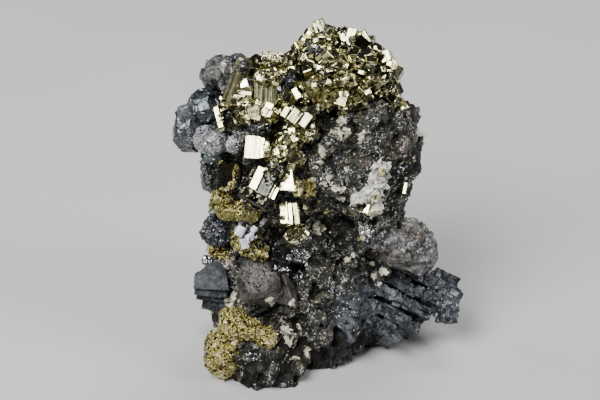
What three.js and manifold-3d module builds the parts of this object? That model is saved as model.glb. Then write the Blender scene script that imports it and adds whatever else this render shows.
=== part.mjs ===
// A hand-size ore specimen: chalcopyrite with pyrite, sphalerite, galena and calcite, grown on a dark granular rock.
// Millimetres, +Z up. The origin is the middle of the flat foot that the specimen stands on, and -Y is its show side.
// Each crystal, cluster or crust is a solid of its own. The rock has a socket for each crystal, a small gap wider all
// round, and crusts and clusters end at the same gap from the rock that they cover.
import * as THREE from "three";
import { ConvexGeometry } from "three/addons/geometries/ConvexGeometry.js";
import { mergeVertices } from "three/addons/utils/BufferGeometryUtils.js";
import Module from "manifold-3d";

const wasm = await Module();
wasm.setup();

// ---- driving dimensions, mm

const EYE_ELEVATION = 30; // degrees above level, from which the show side is meant to be seen
const SOCKET_GAP = 0.3; // air between a crystal and the rock or neighbour that holds it
const FOOT_Z = 0; // height of the cut that the specimen stands on
const CUT_SIZE = 200; // size of the block that is cut away under the foot

const CAP_AT = [5.2, 5.8, 57.6]; // the pyrite crust over the crown: its core's centre and half-sizes
const CAP_HALF = [9.6, 8.4, 8.4];
const CAP_COUNT = 32; // crystals spread over it
const CAP_SPREAD = 1.16; // how far down they go: 1 is to the middle of the core
const CAP_CRYSTAL = [1.3, 2.2]; // smallest and largest half-size

const GALENA_AT = [19.4, 1.4, 10.4]; // middle of the broken galena
const GALENA_BARS = 5;
const GALENA_LENGTHS = 3; // pieces that each bar is snapped into
const GALENA_BAR_WIDTH = 2.5;
const GALENA_LENGTH = 5.4;
const GALENA_DEPTH = 4.6; // half the thickness of a bar
const GALENA_STEP = 0.9; // height of one cleavage step
const GALENA_SHEAR = 0.8; // how far each bar starts behind the one above it

// ---- materials

const finish = (color, roughness, metalness) =>
  new THREE.MeshStandardMaterial({ color, roughness, metalness, flatShading: true });
const ROCK = finish(0x2b2b2a, 0.75, 0.1);
const GANGUE = finish(0x6d665f, 0.8, 0);
const PYRITE = finish(0xcfc08a, 0.22, 1);
const CHALCOPYRITE = finish(0xb4962f, 0.42, 0.9);
const SPHALERITE = finish(0x3c4046, 0.35, 0.4);
const PALE_SPHALERITE = finish(0x7a7d82, 0.4, 0.3);
const GALENA = finish(0x5b6470, 0.4, 0.8);
const CALCITE = finish(0xc9c9c4, 0.5, 0);

// ---- small maths

const GOLDEN_ANGLE = Math.PI * (3 - Math.sqrt(5));

/** A repeatable number from 0 to 1 for a whole number and a channel. */
function chance(index, channel) {
  const wave = Math.sin(index * 12.9898 + channel * 78.233) * 43758.5453;
  return wave - Math.floor(wave);
}

/** Unit directions spread evenly by the golden angle, from the pole down to 1 - spread. */
function spiral(count, spread = 2) {
  return Array.from({ length: count }, (_, i) => {
    const height = 1 - (spread * (i + 0.5)) / count;
    const round = Math.sqrt(1 - height * height);
    const angle = i * GOLDEN_ANGLE;
    return [round * Math.cos(angle), round * Math.sin(angle), height];
  });
}

const unit = (v) => new THREE.Vector3(...v).normalize().toArray();
const crossed = (a, b) => new THREE.Vector3(...a).cross(new THREE.Vector3(...b)).normalize().toArray();

/** A direction given as someone at the show side sees it: right, up, and towards the eye. */
function seen(right, up, near) {
  const tilt = THREE.MathUtils.degToRad(EYE_ELEVATION);
  const [sin, cos] = [Math.sin(tilt), Math.cos(tilt)];
  return [right, up * sin - near * cos, up * cos + near * sin];
}

/** The turn that carries a crystal's +Z onto front and its +Y as near to up as it can. */
function turnTo(front, up) {
  const z = new THREE.Vector3(...front).normalize();
  const x = new THREE.Vector3(...up).cross(z).normalize();
  const y = z.clone().cross(x);
  return new THREE.Matrix4().makeBasis(x, y, z);
}

/** A three.js geometry as a manifold-3d solid, its shared corners merged. */
function solidOf(geometry) {
  const bare = new THREE.BufferGeometry();
  bare.setAttribute("position", geometry.getAttribute("position"));
  if (geometry.index) bare.setIndex(geometry.index);
  const merged = mergeVertices(bare, 1e-4);
  return new wasm.Manifold(
    new wasm.Mesh({
      numProp: 3,
      vertProperties: new Float32Array(merged.attributes.position.array),
      triVerts: new Uint32Array(merged.index.array),
    }),
  );
}

/** A solid as a three.js geometry. */
function geometryOf(solid) {
  const { vertProperties, triVerts } = solid.getMesh();
  const geometry = new THREE.BufferGeometry();
  geometry.setAttribute("position", new THREE.BufferAttribute(vertProperties, 3));
  geometry.setIndex(new THREE.BufferAttribute(triVerts, 1));
  return geometry;
}

// ---- forms: every crystal and every lump is the space inside a set of flat faces

const SIGNS = [-1, 1];

/** The direction (x, y, z) with every choice of signs, once each. */
function signed(x, y, z) {
  const found = new Map();
  for (const i of SIGNS)
    for (const j of SIGNS)
      for (const k of SIGNS) {
        const v = [i * x, j * y, k * z].map((n) => n + 0);
        found.set(v.join(), v);
      }
  return [...found.values()];
}

const CUBE = [...signed(1, 0, 0), ...signed(0, 1, 0), ...signed(0, 0, 1)];
const CORNERS = signed(1, 1, 1);
const EDGES = [...signed(1, 1, 0), ...signed(0, 1, 1), ...signed(1, 0, 1)];
const PYRITOHEDRON = [...signed(2, 1, 0), ...signed(0, 2, 1), ...signed(1, 0, 2)];
const TETRAHEDRON = CORNERS.filter(([x, y, z]) => x * y * z > 0);
const COUNTER = CORNERS.filter(([x, y, z]) => x * y * z < 0);

/** Faces with these directions, all at one level: the value that n.x x + n.y y + n.z z has on the face. */
const faces = (directions, level) => directions.map((n) => ({ n, level }));

/** The faces of each form, in a box from -1 to 1. cut is how much of the edges or corners is missing. */
const FORMS = {
  cuboid: () => faces(CUBE, 1),
  cube: ({ cut = 0.1 }) => [...faces(CUBE, 1), ...faces(CORNERS, 3 * (1 - cut))],
  block: ({ cut = 0.1 }) => [...faces(CUBE, 1), ...faces(EDGES, 2 * (1 - cut))],
  pyritohedron: () => faces(PYRITOHEDRON, 2.1),
  dodecahedron: ({ cut = 0 }) => [...faces(CUBE, 1), ...faces(EDGES, 1.42 - cut)],
  tetrahedron: ({ cut = 0.1 }) => [
    ...faces(CUBE, 1),
    ...faces(TETRAHEDRON, 1.1),
    ...faces(COUNTER, 2.4 - cut),
  ],
  octahedron: ({ cut = 0.1 }) => [...faces(CUBE, 1 - cut), ...faces(CORNERS, 1.05)],
  // a broken lump: chisel faces all round, each at its own depth
  lump: ({ seed, chisels = 16, rough = 0.22 }) =>
    spiral(chisels).map((n, i) => ({
      n: n.map((v, k) => v + 0.5 * (chance(i, seed + 10 * k) - 0.5)),
      level: 1 - rough * chance(i, seed + 40),
    })),
};

/** The convex solid inside a set of faces: each corner is where three meet and no other cuts it off. */
function convex(planes) {
  const corners = new Map();
  const cross = new THREE.Vector3();
  const sum = new THREE.Vector3();
  for (let i = 0; i < planes.length; i++)
    for (let j = i + 1; j < planes.length; j++)
      for (let k = j + 1; k < planes.length; k++) {
        const [p, q, r] = [planes[i], planes[j], planes[k]];
        const det = p.n.dot(cross.crossVectors(q.n, r.n));
        if (Math.abs(det) < 1e-3) continue;
        sum.copy(cross).multiplyScalar(p.d);
        sum.addScaledVector(cross.crossVectors(r.n, p.n), q.d);
        sum.addScaledVector(cross.crossVectors(p.n, q.n), r.d);
        const corner = sum.clone().divideScalar(det);
        if (planes.every((o) => o.n.dot(corner) < o.d + 1e-6))
          corners.set(corner.toArray().map((v) => Math.round(v * 500)).join(), corner);
      }
  return new ConvexGeometry([...corners.values()]);
}

/** A crystal or lump, grown outwards by grow. at is its centre, half its half-sizes, front and up its turn. */
function shape(piece, grow = 0) {
  const { form, half, at, front = [0, 0, 1], up = [0, 1, 0] } = piece;
  const planes = FORMS[form](piece).map(({ n, level }) => {
    const stretched = new THREE.Vector3(n[0] / half[0], n[1] / half[1], n[2] / half[2]);
    const length = stretched.length();
    const centre = form === "lump" ? Math.hypot(...n) : 1;
    return { n: stretched.divideScalar(length), d: (level * centre) / length + grow };
  });
  return solidOf(convex(planes).applyMatrix4(turnTo(front, up).setPosition(...at)));
}

/** Crystals and lumps that have grown together, as one solid. */
const grownTogether = (pieces, grow) => wasm.Manifold.union(pieces.map((piece) => shape(piece, grow)));

/** The largest body of a solid, for a piece whose tip was cut off by a neighbour. */
const largest = (solid) => solid.decompose().reduce((a, b) => (b.volume() > a.volume() ? b : a));

/** Everything below the foot. */
const belowFoot = solidOf(
  new THREE.BoxGeometry(CUT_SIZE, CUT_SIZE, CUT_SIZE).translate(0, 0, FOOT_Z - CUT_SIZE / 2),
);

/** A crystal of one form, for short. */
const crystal = (form, half, at, front, up, cut) => ({ form, half, at, front, up, cut });

/** A lump, for short. */
const lump = (at, half, seed, more = {}) => ({ form: "lump", at, half, seed, ...more });

// ---- the rock: overlapping broken lumps, cut flat at the foot

const ROCK_LUMPS = [
  lump([-0.6, 6, 5], [21.4, 14.4, 9], 20, { chisels: 28 }), // foot
  lump([-9.6, -8.8, 3], [8.6, 10, 7.2], 21, { rough: 0.12 }), // front of the foot
  lump([1.4, -4, 6], [8.6, 8, 8], 22, { front: [0.3, 0, 1] }),
  lump([14, 9, 5], [10.5, 9.5, 7.6], 23), // under the galena
  lump([-12, -1, 17], [9, 8.6, 9.6], 24), // behind the left crystals
  lump([1, -1.4, 15], [9.6, 9.6, 11], 25, { front: [-0.45, 0, 1] }), // lower face
  lump([7.4, 3, 17.6], [8.6, 8.8, 11.4], 26, { front: [-0.5, 0, 1] }),
  lump([-3, 4, 27], [12, 11, 10.6], 27), // waist
  lump([-11, 0, 29.5], [8, 7.4, 8], 28),
  lump([9, 4, 29], [9.4, 10, 13], 29, { front: [0.35, 0, 1] }),
  lump([3, 5, 43], [16, 12.6, 12.6], 30, { chisels: 24 }), // upper mass
  lump([2, -1.5, 40], [7.6, 7.6, 11], 31, { front: [0.2, 0, 1] }),
  lump([11, 1.6, 38], [8, 8.6, 12], 32, { front: [-0.35, 0, 1] }),
  lump([14.2, 6, 43.6], [9.4, 9.8, 10], 33), // shoulder
  lump([10, -0.2, 51], [8.4, 6.4, 6.4], 36), // under the front of the pyrite crust
  lump([-11, 4.4, 46.6], [9.4, 8.8, 10.2], 34), // behind the upper left crystals
  lump([2, 12, 30], [13, 7.6, 22], 35, { chisels: 26 }), // back
];

const specimen = new THREE.Group();
const aroundRock = grownTogether(ROCK_LUMPS, SOCKET_GAP);
let sockets = belowFoot; // all that the rock makes room for
let taken = belowFoot; // all that the next piece gives way to

/** Adds a piece's solid to the specimen, without what a neighbour has cut off it. */
function add(name, material, solid) {
  const mesh = new THREE.Mesh(geometryOf(largest(solid)), material);
  mesh.name = name;
  specimen.add(mesh);
}

/** Adds a piece that sits in a socket in the rock, with any crystals on it that end at the rock instead. */
function seat(name, material, seated, ending = []) {
  const outside = grownTogether(ending, 0).subtract(aroundRock);
  add(name, material, grownTogether(seated, 0).add(outside).subtract(taken));
  const room = grownTogether(seated, SOCKET_GAP);
  sockets = sockets.add(room);
  taken = taken.add(room).add(grownTogether(ending, SOCKET_GAP));
}

/** Adds a crust that ends at the rock. */
const coat = (name, material, ...pieces) => seat(name, material, [], pieces);

/** Adds crystals in a socket in the rock. */
const set = (name, material, ...pieces) => seat(name, material, pieces);

// ---- pyrite: striped cubes and blocks, each with the face that catches the light

set("pyrite_bright_cube", PYRITE,
  crystal("cube", [2.6, 2.3, 2.4], [-9.6, -10.4, 49.9], seen(-0.12, 0.12, 1), seen(0.04, 1, 0), 0.06));
set("pyrite_dark_block", PYRITE,
  crystal("block", [3, 3.8, 3], [-9.4, -11.8, 43.2], seen(-0.2, 0.35, 0.9), seen(0.48, 0.88, 0), 0.05));
set("pyrite_spike", PYRITE,
  crystal("octahedron", [2.4, 3.6, 2.4], [-3.9, -11, 44.2], seen(-0.75, 0, 0.7), seen(0, 1, -0.1)));
set("pyrite_low_prism", PYRITE,
  crystal("cube", [1.8, 3.6, 2.1], [-3.5, -10.4, 35.2], seen(-0.3, 0.05, 0.9), seen(-0.16, 1, 0)));
set("pyrite_blade", PYRITE,
  crystal("block", [1.3, 5.2, 2.4], [-14.4, 2.5, 58.8], seen(-0.45, 0.1, 0.9), seen(0.46, 0.88, 0), 0.06));
set("pyrite_striped_block", PYRITE,
  crystal("cube", [2.6, 3.2, 2.8], [-8.6, 3, 56.6], seen(0.1, -0.2, 0.95), seen(0.03, 1, 0), 0.05));
set("pyrite_banded_cube", PYRITE,
  crystal("cube", [2, 2.2, 2], [-13.2, 0.4, 55.6], seen(0, 0.2, 0.9), seen(0.1, 1, 0)));
set("pyrite_corner_sliver", PYRITE,
  crystal("block", [0.9, 3, 1.6], [-17.6, -1.4, 52.6], seen(-0.5, 0.1, 0.9), seen(-0.35, 1, 0)));

coat("pyrite_centre_cluster", PYRITE,
  crystal("pyritohedron", [2.6, 2.6, 2.6], [-2.2, -5, 53.6], seen(0.3, 0.3, 0.9), seen(0.3, 1, 0)),
  crystal("cuboid", [1.9, 1.9, 1.9], [-0.8, -6, 51.6], seen(-0.2, 0.3, 0.9), seen(0.5, 1, 0)),
  crystal("cuboid", [1.3, 1.3, 1.3], [-4.1, -7.2, 51.2], seen(-0.1, 0.1, 0.9), seen(-0.1, 1, 0)),
  crystal("pyritohedron", [2.2, 2.2, 2.2], [-4.7, -7.6, 49], seen(0.3, 0, 0.9), seen(0.2, 1, 0)),
  crystal("cuboid", [1.5, 1.5, 1.5], [-3.4, -8.4, 47.6], seen(0.1, 0.4, 0.9), seen(-0.4, 1, 0)));

coat("pyrite_upper_cluster", PYRITE,
  crystal("cuboid", [2.1, 1.7, 1.9], [-11.2, -3, 54.2], seen(0.4, 0.3, 0.9), seen(0.2, 1, 0)),
  crystal("pyritohedron", [2, 2, 2], [-7.6, -3, 54.4], seen(0.1, 0.1, 0.9), seen(0.6, 1, 0)),
  crystal("cuboid", [1.4, 1.4, 1.4], [-9.4, -4.6, 53], seen(-0.3, 0.5, 0.9), seen(-0.4, 1, 0)),
  crystal("cuboid", [1.7, 1.5, 1.7], [-4.6, -1.2, 56.4], seen(0.3, 0.4, 0.9), seen(0.5, 1, 0)));

coat("pyrite_saddle_cluster", PYRITE,
  crystal("cuboid", [2.6, 2.2, 2.6], [-7.2, 8.4, 58.6], seen(0.1, 0.8, 0.6), seen(0.1, 1, 0)),
  crystal("pyritohedron", [2.6, 2.6, 2.6], [-10.6, 8.6, 58.6], seen(0.4, 0.3, 0.9), seen(0.6, 1, 0)),
  crystal("cuboid", [2.2, 2.2, 2.2], [-3.4, 7.8, 59.4], seen(-0.3, 0.5, 0.9), seen(-0.6, 1, 0)),
  crystal("cuboid", [1.8, 1.8, 1.8], [-4.2, 4.2, 58.6], seen(0.3, 0.2, 0.9), seen(0.9, 1, 0)));

/** The crystals of the crust over the crown: one for each spiral direction, turned and sized by chance. */
function capCrystals() {
  const [least, most] = CAP_CRYSTAL;
  return spiral(CAP_COUNT, CAP_SPREAD).map((out, i) => {
    const size = least + (most - least) * chance(i, 1);
    return {
      form: chance(i, 2) < 0.85 ? "cuboid" : "pyritohedron",
      half: [size, size * (0.8 + 0.4 * chance(i, 3)), size],
      at: CAP_AT.map((v, k) => v + out[k] * CAP_HALF[k]),
      front: out.map((v, k) => v + 1.2 * (chance(i, 4 + k) - 0.5)),
      up: [chance(i, 7) - 0.5, 1, chance(i, 8) - 0.5],
    };
  });
}

seat("pyrite_cap", PYRITE, [lump(CAP_AT, CAP_HALF, 4, { chisels: 20, rough: 0.1 })], capCrystals());

// ---- sphalerite: dark, many-faced crystals down the left side

set("sphalerite_top_knob", PALE_SPHALERITE,
  crystal("dodecahedron", [3.9, 3.8, 3.6], [-17.2, 8, 57.4], seen(-0.3, 0.3, 0.9), seen(0.4, 1, 0)));
set("sphalerite_upper_knob", SPHALERITE,
  crystal("dodecahedron", [3.4, 3.2, 3.2], [-20.6, 4, 52.4], seen(-0.2, 0.1, 0.9), seen(-0.3, 1, 0)));
set("sphalerite_left_knob", SPHALERITE,
  crystal("dodecahedron", [3.4, 4.2, 3.4], [-23.4, 3.6, 47.6], seen(-0.5, 0.2, 0.9), seen(0.1, 1, 0)));
set("sphalerite_pale_crystal", PALE_SPHALERITE,
  crystal("tetrahedron", [3.9, 2.9, 3.1], [-19.2, -2, 48], seen(0.1, 0.3, 0.9), seen(0.2, 1, 0)));
set("sphalerite_small_rhomb", PALE_SPHALERITE,
  crystal("dodecahedron", [1.6, 1.8, 1.6], [-14.6, -6, 49.4], seen(0.1, 0.1, 0.9), seen(0.4, 1, 0)));
set("sphalerite_teal_crystal", SPHALERITE,
  crystal("cube", [2.2, 1.7, 2.2], [-19, -2, 44.2], seen(-0.1, 0.5, 0.8), seen(0.1, 1, 0), 0.2));
set("sphalerite_fine_crystal", SPHALERITE,
  crystal("tetrahedron", [2.4, 3.3, 2.6], [-19.4, -2.2, 40.4], seen(-0.3, 0, 0.9), seen(0.3, 1, 0)));
set("sphalerite_blue_ball", SPHALERITE,
  crystal("dodecahedron", [3, 3.2, 3], [-18.4, -3.6, 28.6], seen(-0.1, 0.1, 0.9), seen(0.2, 1, 0)));
set("sphalerite_grey_cube", SPHALERITE,
  crystal("cube", [3.7, 3.2, 3.4], [-19, -5, 18.4], seen(-0.12, 0.3, 0.9), seen(0.42, 1, 0), 0.28));
set("sphalerite_stepped_foot", SPHALERITE,
  crystal("cube", [2.5, 0.7, 2.4], [-19.6, -5.6, 13.9], seen(-0.2, 0.1, 0.9), seen(0.1, 1, 0), 0.2),
  crystal("cube", [2.1, 2, 2.1], [-19, -5.6, 12.2], seen(-0.2, 0.1, 0.9), seen(0.1, 1, 0), 0.25));
set("sphalerite_brown_knob", PALE_SPHALERITE,
  crystal("dodecahedron", [5, 4.6, 4.4], [-9.4, -8.8, 19.4], seen(0.1, 0.3, 0.9), seen(-0.2, 1, 0)),
  crystal("tetrahedron", [2.9, 2.6, 2.6], [-4.8, -9, 18.2], seen(0.3, 0.2, 0.9), seen(0.6, 1, 0)));
set("sphalerite_black_cube", SPHALERITE,
  crystal("cube", [1.9, 2.2, 2.2], [-6.1, -8.2, 25], seen(-0.1, 0.1, 0.9), seen(0.1, 1, 0), 0.06));

// ---- chalcopyrite: massive brassy lumps, and a dark tarnished crystal

coat("chalcopyrite_lobe", CHALCOPYRITE,
  lump([-15.7, -12, 12.6], [4.3, 4, 4.8], 1, { chisels: 15 }),
  lump([-17.2, -13.6, 5.4], [4.6, 4.4, 6], 2, { chisels: 15 }),
  lump([-9, -14.4, 9.4], [3.8, 3.4, 3], 3, { chisels: 15 }),
  lump([-13.2, -14, 9.4], [3.8, 3.6, 3.4], 4, { chisels: 16 }));
coat("chalcopyrite_left_crust", CHALCOPYRITE,
  lump([-17.2, -5.6, 36.8], [2.6, 2.6, 2.8], 5),
  lump([-13.8, -8, 35.4], [4.4, 2.4, 2.1], 6));
set("chalcopyrite_dark_crystal", CHALCOPYRITE,
  crystal("block", [2.2, 3.2, 2.2], [-15.7, -5.8, 42], seen(-0.2, 0.1, 0.9), seen(0.05, 1, 0)));
set("chalcopyrite_ball", CHALCOPYRITE, lump([-0.6, -8.8, 41], [1.8, 1.8, 1.8], 7, { chisels: 15 }));
coat("chalcopyrite_ledge", CHALCOPYRITE, lump([-17.4, -3.8, 23.6], [3.2, 2.4, 1.5], 8, { chisels: 15 }));
coat("chalcopyrite_patch", CHALCOPYRITE,
  lump([-12.4, -8.2, 29], [3.2, 2.6, 2.9], 9, { chisels: 15 }),
  lump([-10.6, -8.6, 27], [2.4, 2.2, 2], 10, { chisels: 15 }));
coat("chalcopyrite_honey_patch", CHALCOPYRITE, lump([1.8, -4.2, 59.6], [2.9, 2, 2.4], 11, { chisels: 15 }));

// ---- galena: bars side by side, each snapped along its cleavage into lengths at stepped heights

const GALENA_ALONG = unit(seen(0.86, -0.42, -0.1));
const GALENA_ACROSS = crossed(seen(0, 0.3, 0.9), GALENA_ALONG);
const GALENA_OUT = crossed(GALENA_ALONG, GALENA_ACROSS);

/** The blocks of the broken galena, all with the same three cleavage directions. */
function galenaBlocks() {
  return Array.from({ length: GALENA_BARS * GALENA_LENGTHS }, (_, n) => {
    const bar = Math.floor(n / GALENA_LENGTHS) - (GALENA_BARS - 1) / 2;
    const piece = (n % GALENA_LENGTHS) - (GALENA_LENGTHS - 1) / 2;
    const along = piece * GALENA_LENGTH + GALENA_SHEAR * bar + 2.4 * (chance(n, 21) - 0.5);
    const across = bar * GALENA_BAR_WIDTH;
    const rise = GALENA_STEP * Math.floor(3 * chance(n, 22));
    const at = GALENA_AT.map(
      (v, k) => v + along * GALENA_ALONG[k] + across * GALENA_ACROSS[k] + rise * GALENA_OUT[k],
    );
    const half = [GALENA_LENGTH * (0.52 + 0.1 * chance(n, 23)), GALENA_BAR_WIDTH * 0.53, GALENA_DEPTH];
    return crystal("cuboid", half, at, GALENA_OUT, GALENA_ACROSS);
  });
}

coat("galena_steps", GALENA, ...galenaBlocks());

// ---- gangue and calcite

coat("gangue_knob", GANGUE, lump([18.6, 2.2, 21.8], [7.8, 6.8, 6], 12, { chisels: 20 }));
coat("calcite_ridge", CALCITE,
  lump([13.6, -6.4, 45.4], [1.9, 2, 2.8], 13, { chisels: 11 }),
  lump([12.5, -8, 42.4], [2.3, 2.4, 2.6], 14, { chisels: 11 }),
  lump([10.6, -9, 40.4], [2.4, 2.4, 2.4], 15, { chisels: 11 }),
  lump([8.9, -9.2, 38.2], [2.4, 2, 2], 16, { chisels: 11 }),
  lump([12.8, -9, 37.8], [2.6, 2.4, 2.4], 17, { chisels: 11 }));
coat("calcite_tuft", CALCITE,
  crystal("cube", [1.2, 1.2, 1.2], [-13.2, -10.4, 31.4], seen(0.3, 0.3, 0.9), seen(0.4, 1, 0)),
  crystal("cube", [1.3, 1.1, 1.2], [-11.2, -10.4, 31], seen(-0.3, 0.3, 0.9), seen(-0.4, 1, 0)));

// ---- last, the rock round them all

add("matrix_rock", ROCK, grownTogether(ROCK_LUMPS, 0).subtract(sockets));

export default specimen;
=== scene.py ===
# %% [markdown]
# # An ore specimen, grown in numpy and finished in Blender
# A hand-size piece of dark rock carries striped pyrite, brassy chalcopyrite, sphalerite, galena and calcite.
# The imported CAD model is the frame: it says where each crystal sits. Every piece here is a surface worked out
# with numpy, put where its CAD solid is, and finished with a material made of nodes.

# %% Load the fixed frame
import math

import bpy
import numpy as np
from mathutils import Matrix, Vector
from mathutils.bvhtree import BVHTree


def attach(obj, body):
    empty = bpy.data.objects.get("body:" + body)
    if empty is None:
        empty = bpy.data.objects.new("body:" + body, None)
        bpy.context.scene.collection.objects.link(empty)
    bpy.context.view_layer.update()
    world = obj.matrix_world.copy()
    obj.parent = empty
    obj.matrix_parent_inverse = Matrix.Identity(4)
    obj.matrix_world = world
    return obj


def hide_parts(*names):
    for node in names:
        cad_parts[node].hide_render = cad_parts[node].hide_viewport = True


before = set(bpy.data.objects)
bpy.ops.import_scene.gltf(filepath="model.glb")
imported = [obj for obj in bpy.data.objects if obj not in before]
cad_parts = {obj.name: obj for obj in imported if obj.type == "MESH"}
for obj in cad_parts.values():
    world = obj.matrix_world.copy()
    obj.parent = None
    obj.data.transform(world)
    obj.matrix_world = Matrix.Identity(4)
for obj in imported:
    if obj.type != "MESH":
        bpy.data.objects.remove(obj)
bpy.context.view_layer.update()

MM = 0.001  # Blender works in metres, and the pieces below are worked out in millimetres

# %% [markdown]
# ## The eye
# The specimen is meant to be looked at from 30 degrees above level, over its show side. The camera comes
# first, because small patches are placed by where the eye sees them: so far right and so far up from the
# middle of the view. A long lens from 400 mm away keeps the shapes free of distortion.

# %% Camera
EYE_ELEVATION = math.radians(30)
EYE_TARGET = np.array([-2.0, 0.0, 33.5])
EYE_DISTANCE = 400.0
EYE_RIGHT = np.array([1.0, 0.0, 0.0])
EYE_UP = np.array([0.0, math.sin(EYE_ELEVATION), math.cos(EYE_ELEVATION)])
EYE_BACK = np.array([0.0, -math.cos(EYE_ELEVATION), math.sin(EYE_ELEVATION)])
EYE = EYE_TARGET + EYE_DISTANCE * EYE_BACK

camera = bpy.data.objects.new("camera", bpy.data.cameras.new("camera"))
camera.data.lens = 120
camera.data.sensor_width = 36
camera.data.clip_start = 0.01
camera.location = Vector(EYE * MM)
camera.rotation_euler = Vector(-EYE_BACK).to_track_quat("-Z", "Y").to_euler()
bpy.context.scene.collection.objects.link(camera)
bpy.context.scene.camera = camera
print("the eye is at", np.round(EYE, 1), "mm")


def way_of(azimuth, elevation):
    """The direction towards a light, in degrees as the eye counts them: azimuth 0 is over the show side."""
    a, e = math.radians(azimuth), math.radians(elevation)
    return np.array([math.sin(a) * math.cos(e), -math.cos(a) * math.cos(e), math.sin(e)])


KEY_AZIMUTH, KEY_ELEVATION = -38, 48  # where the main light stands
FLASH = EYE_BACK + way_of(KEY_AZIMUTH, KEY_ELEVATION)  # a mirror face this way shows the main light

# %% [markdown]
# ## Chance that repeats
# Nature is irregular, but a script has to give the same specimen each time it runs. So every random number
# comes from a formula: a whole number goes in, and a number from 0 to 1 that looks random comes out.

# %% Repeatable chance
GOLDEN_ANGLE = math.pi * (3 - math.sqrt(5))


def chance(index, channel):
    """What follows the decimal point of sin(12.9898 index + 78.233 channel) times 43758.5453."""
    wave = np.sin(np.asarray(index) * 12.9898 + channel * 78.233) * 43758.5453
    return wave - np.floor(wave)


def chances(index, channel, step=1, many=3):
    """Three numbers, or more, for each index, from channels that are step apart."""
    return np.stack([chance(index, channel + step * k) for k in range(many)], -1)


def lattice(cells, seed):
    """One number from 0 to 1 for each cell of a lattice: its whole numbers multiplied, added and
    scrambled."""
    x, y, z = np.moveaxis(cells.astype(np.int64).astype(np.uint64), -1, 0)
    mixed = x * np.uint64(374761393) + y * np.uint64(668265263) + z * np.uint64(2147483629)
    mixed = (mixed + np.uint64(seed * 974634777 + 12345)) & np.uint64(0xFFFFFFFF)
    mixed = ((mixed ^ (mixed >> np.uint64(13))) * np.uint64(1274126177)) & np.uint64(0xFFFFFFFF)
    mixed = ((mixed ^ (mixed >> np.uint64(15))) * np.uint64(2246822519)) & np.uint64(0xFFFFFFFF)
    return ((mixed ^ (mixed >> np.uint64(16))) & np.uint64(0xFFFF)).astype(float) / 65535


def fade(values, start, width):
    """0 up to the start, 1 from one width further on. A width below nought fades the other way."""
    return np.clip((values - start) / width, 0, 1)


def swell(points, size, seed):
    """Smooth hills from -1 to 1: each lattice corner has a number, blended across the cell by a smooth
    step."""
    scaled = points / size
    cells = np.floor(scaled)
    part = scaled - cells
    ease = part * part * (3 - 2 * part)
    total = np.zeros(points.shape[:-1])
    for corner in np.ndindex(2, 2, 2):
        share = np.prod(np.where(corner, ease, 1 - ease), axis=-1)
        total += share * lattice(cells + np.array(corner), seed)
    return 2 * total - 1


def hills(points, size, seed, octaves=3):
    """Smooth hills with smaller ones on them: each octave is half as wide and half as high as the last."""
    return sum(swell(points, size / 2**k, seed + k) / 2**k for k in range(octaves))


def broken(points, size, seed, lean=0.5):
    """Broken grains: each point belongs to the nearest of the lattice's scattered seeds, whose random height
    and random lean make one small flat face. Returns the height in mm and the grain's own number from 0 to
    1."""
    cells = np.floor(points / size)
    nearest = np.full(points.shape[:-1], np.inf)
    height = np.zeros(points.shape[:-1])
    number = np.zeros(points.shape[:-1])
    for step in np.ndindex(3, 3, 3):
        cell = cells + np.array(step) - 1
        random = np.stack([lattice(cell, seed + k) for k in range(3)], -1)
        away = points - (cell + 0.15 + 0.7 * random) * size
        distance = (away**2).sum(-1)
        tilt = lean * 2 * (random[..., [1, 2, 0]] - 0.5)
        closer = distance < nearest
        nearest = np.where(closer, distance, nearest)
        height = np.where(closer, size * 0.6 * (random[..., 0] - 0.5) + (tilt * away).sum(-1), height)
        number = np.where(closer, lattice(cell, seed + 7), number)
    return height, number


print("chance of 1, 2, 3:", np.round(chance([1, 2, 3], 1), 3))

# %% [markdown]
# ## Directions as the eye sees them
# Each crystal has a front face and an upward edge. Both are given as the eye sees them: right, up and near. A
# turn is then a matrix whose columns are the crystal's own three axes.

# %% Directions and turns


def unit(vectors):
    """Vectors divided by their lengths."""
    vectors = np.asarray(vectors, float)
    return vectors / np.linalg.norm(vectors, axis=-1, keepdims=True)


def seen(right, up, near):
    """A direction in the specimen's frame, from its parts to the eye's right, up and towards the eye."""
    return right * EYE_RIGHT + up * EYE_UP + near * EYE_BACK


def turned(front, up):
    """Columns x, y, z: z is the front, x is at right angles to up and z, and y is what is left of up."""
    z = unit(front)
    x = unit(np.cross(up, z))
    return np.stack([x, np.cross(z, x), z], -1)


def spiral(count, spread=2.0):
    """Even directions over a ball: heights in equal steps down from the pole, each a golden angle further
    round."""
    i = np.arange(count)
    height = 1 - spread * (i + 0.5) / count
    angle = i * GOLDEN_ANGLE
    around = np.sqrt(1 - height**2)
    return np.stack([around * np.cos(angle), around * np.sin(angle), height], -1)


# %% [markdown]
# ## Putting surfaces into Blender
# A mesh is points and triangles. The helper below fills Blender's mesh with whole numpy arrays, which is
# quick even for a hundred thousand triangles. Each piece also carries numbers for its material: "tint" is one
# random number a grain or crystal, and the UV map "face_mm" measures a crystal face in millimetres, along its
# stripes and across.

# %% From arrays to pieces
ROOT = "root"
MADE = []  # every shape so far, for rays to find
STANDARD = {"tint": 0.5, "stain_and_side_shade": 0.0, "slate": 0.0, "hollow": 0.5}  # a shape's numbers if it doesn't say


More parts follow.
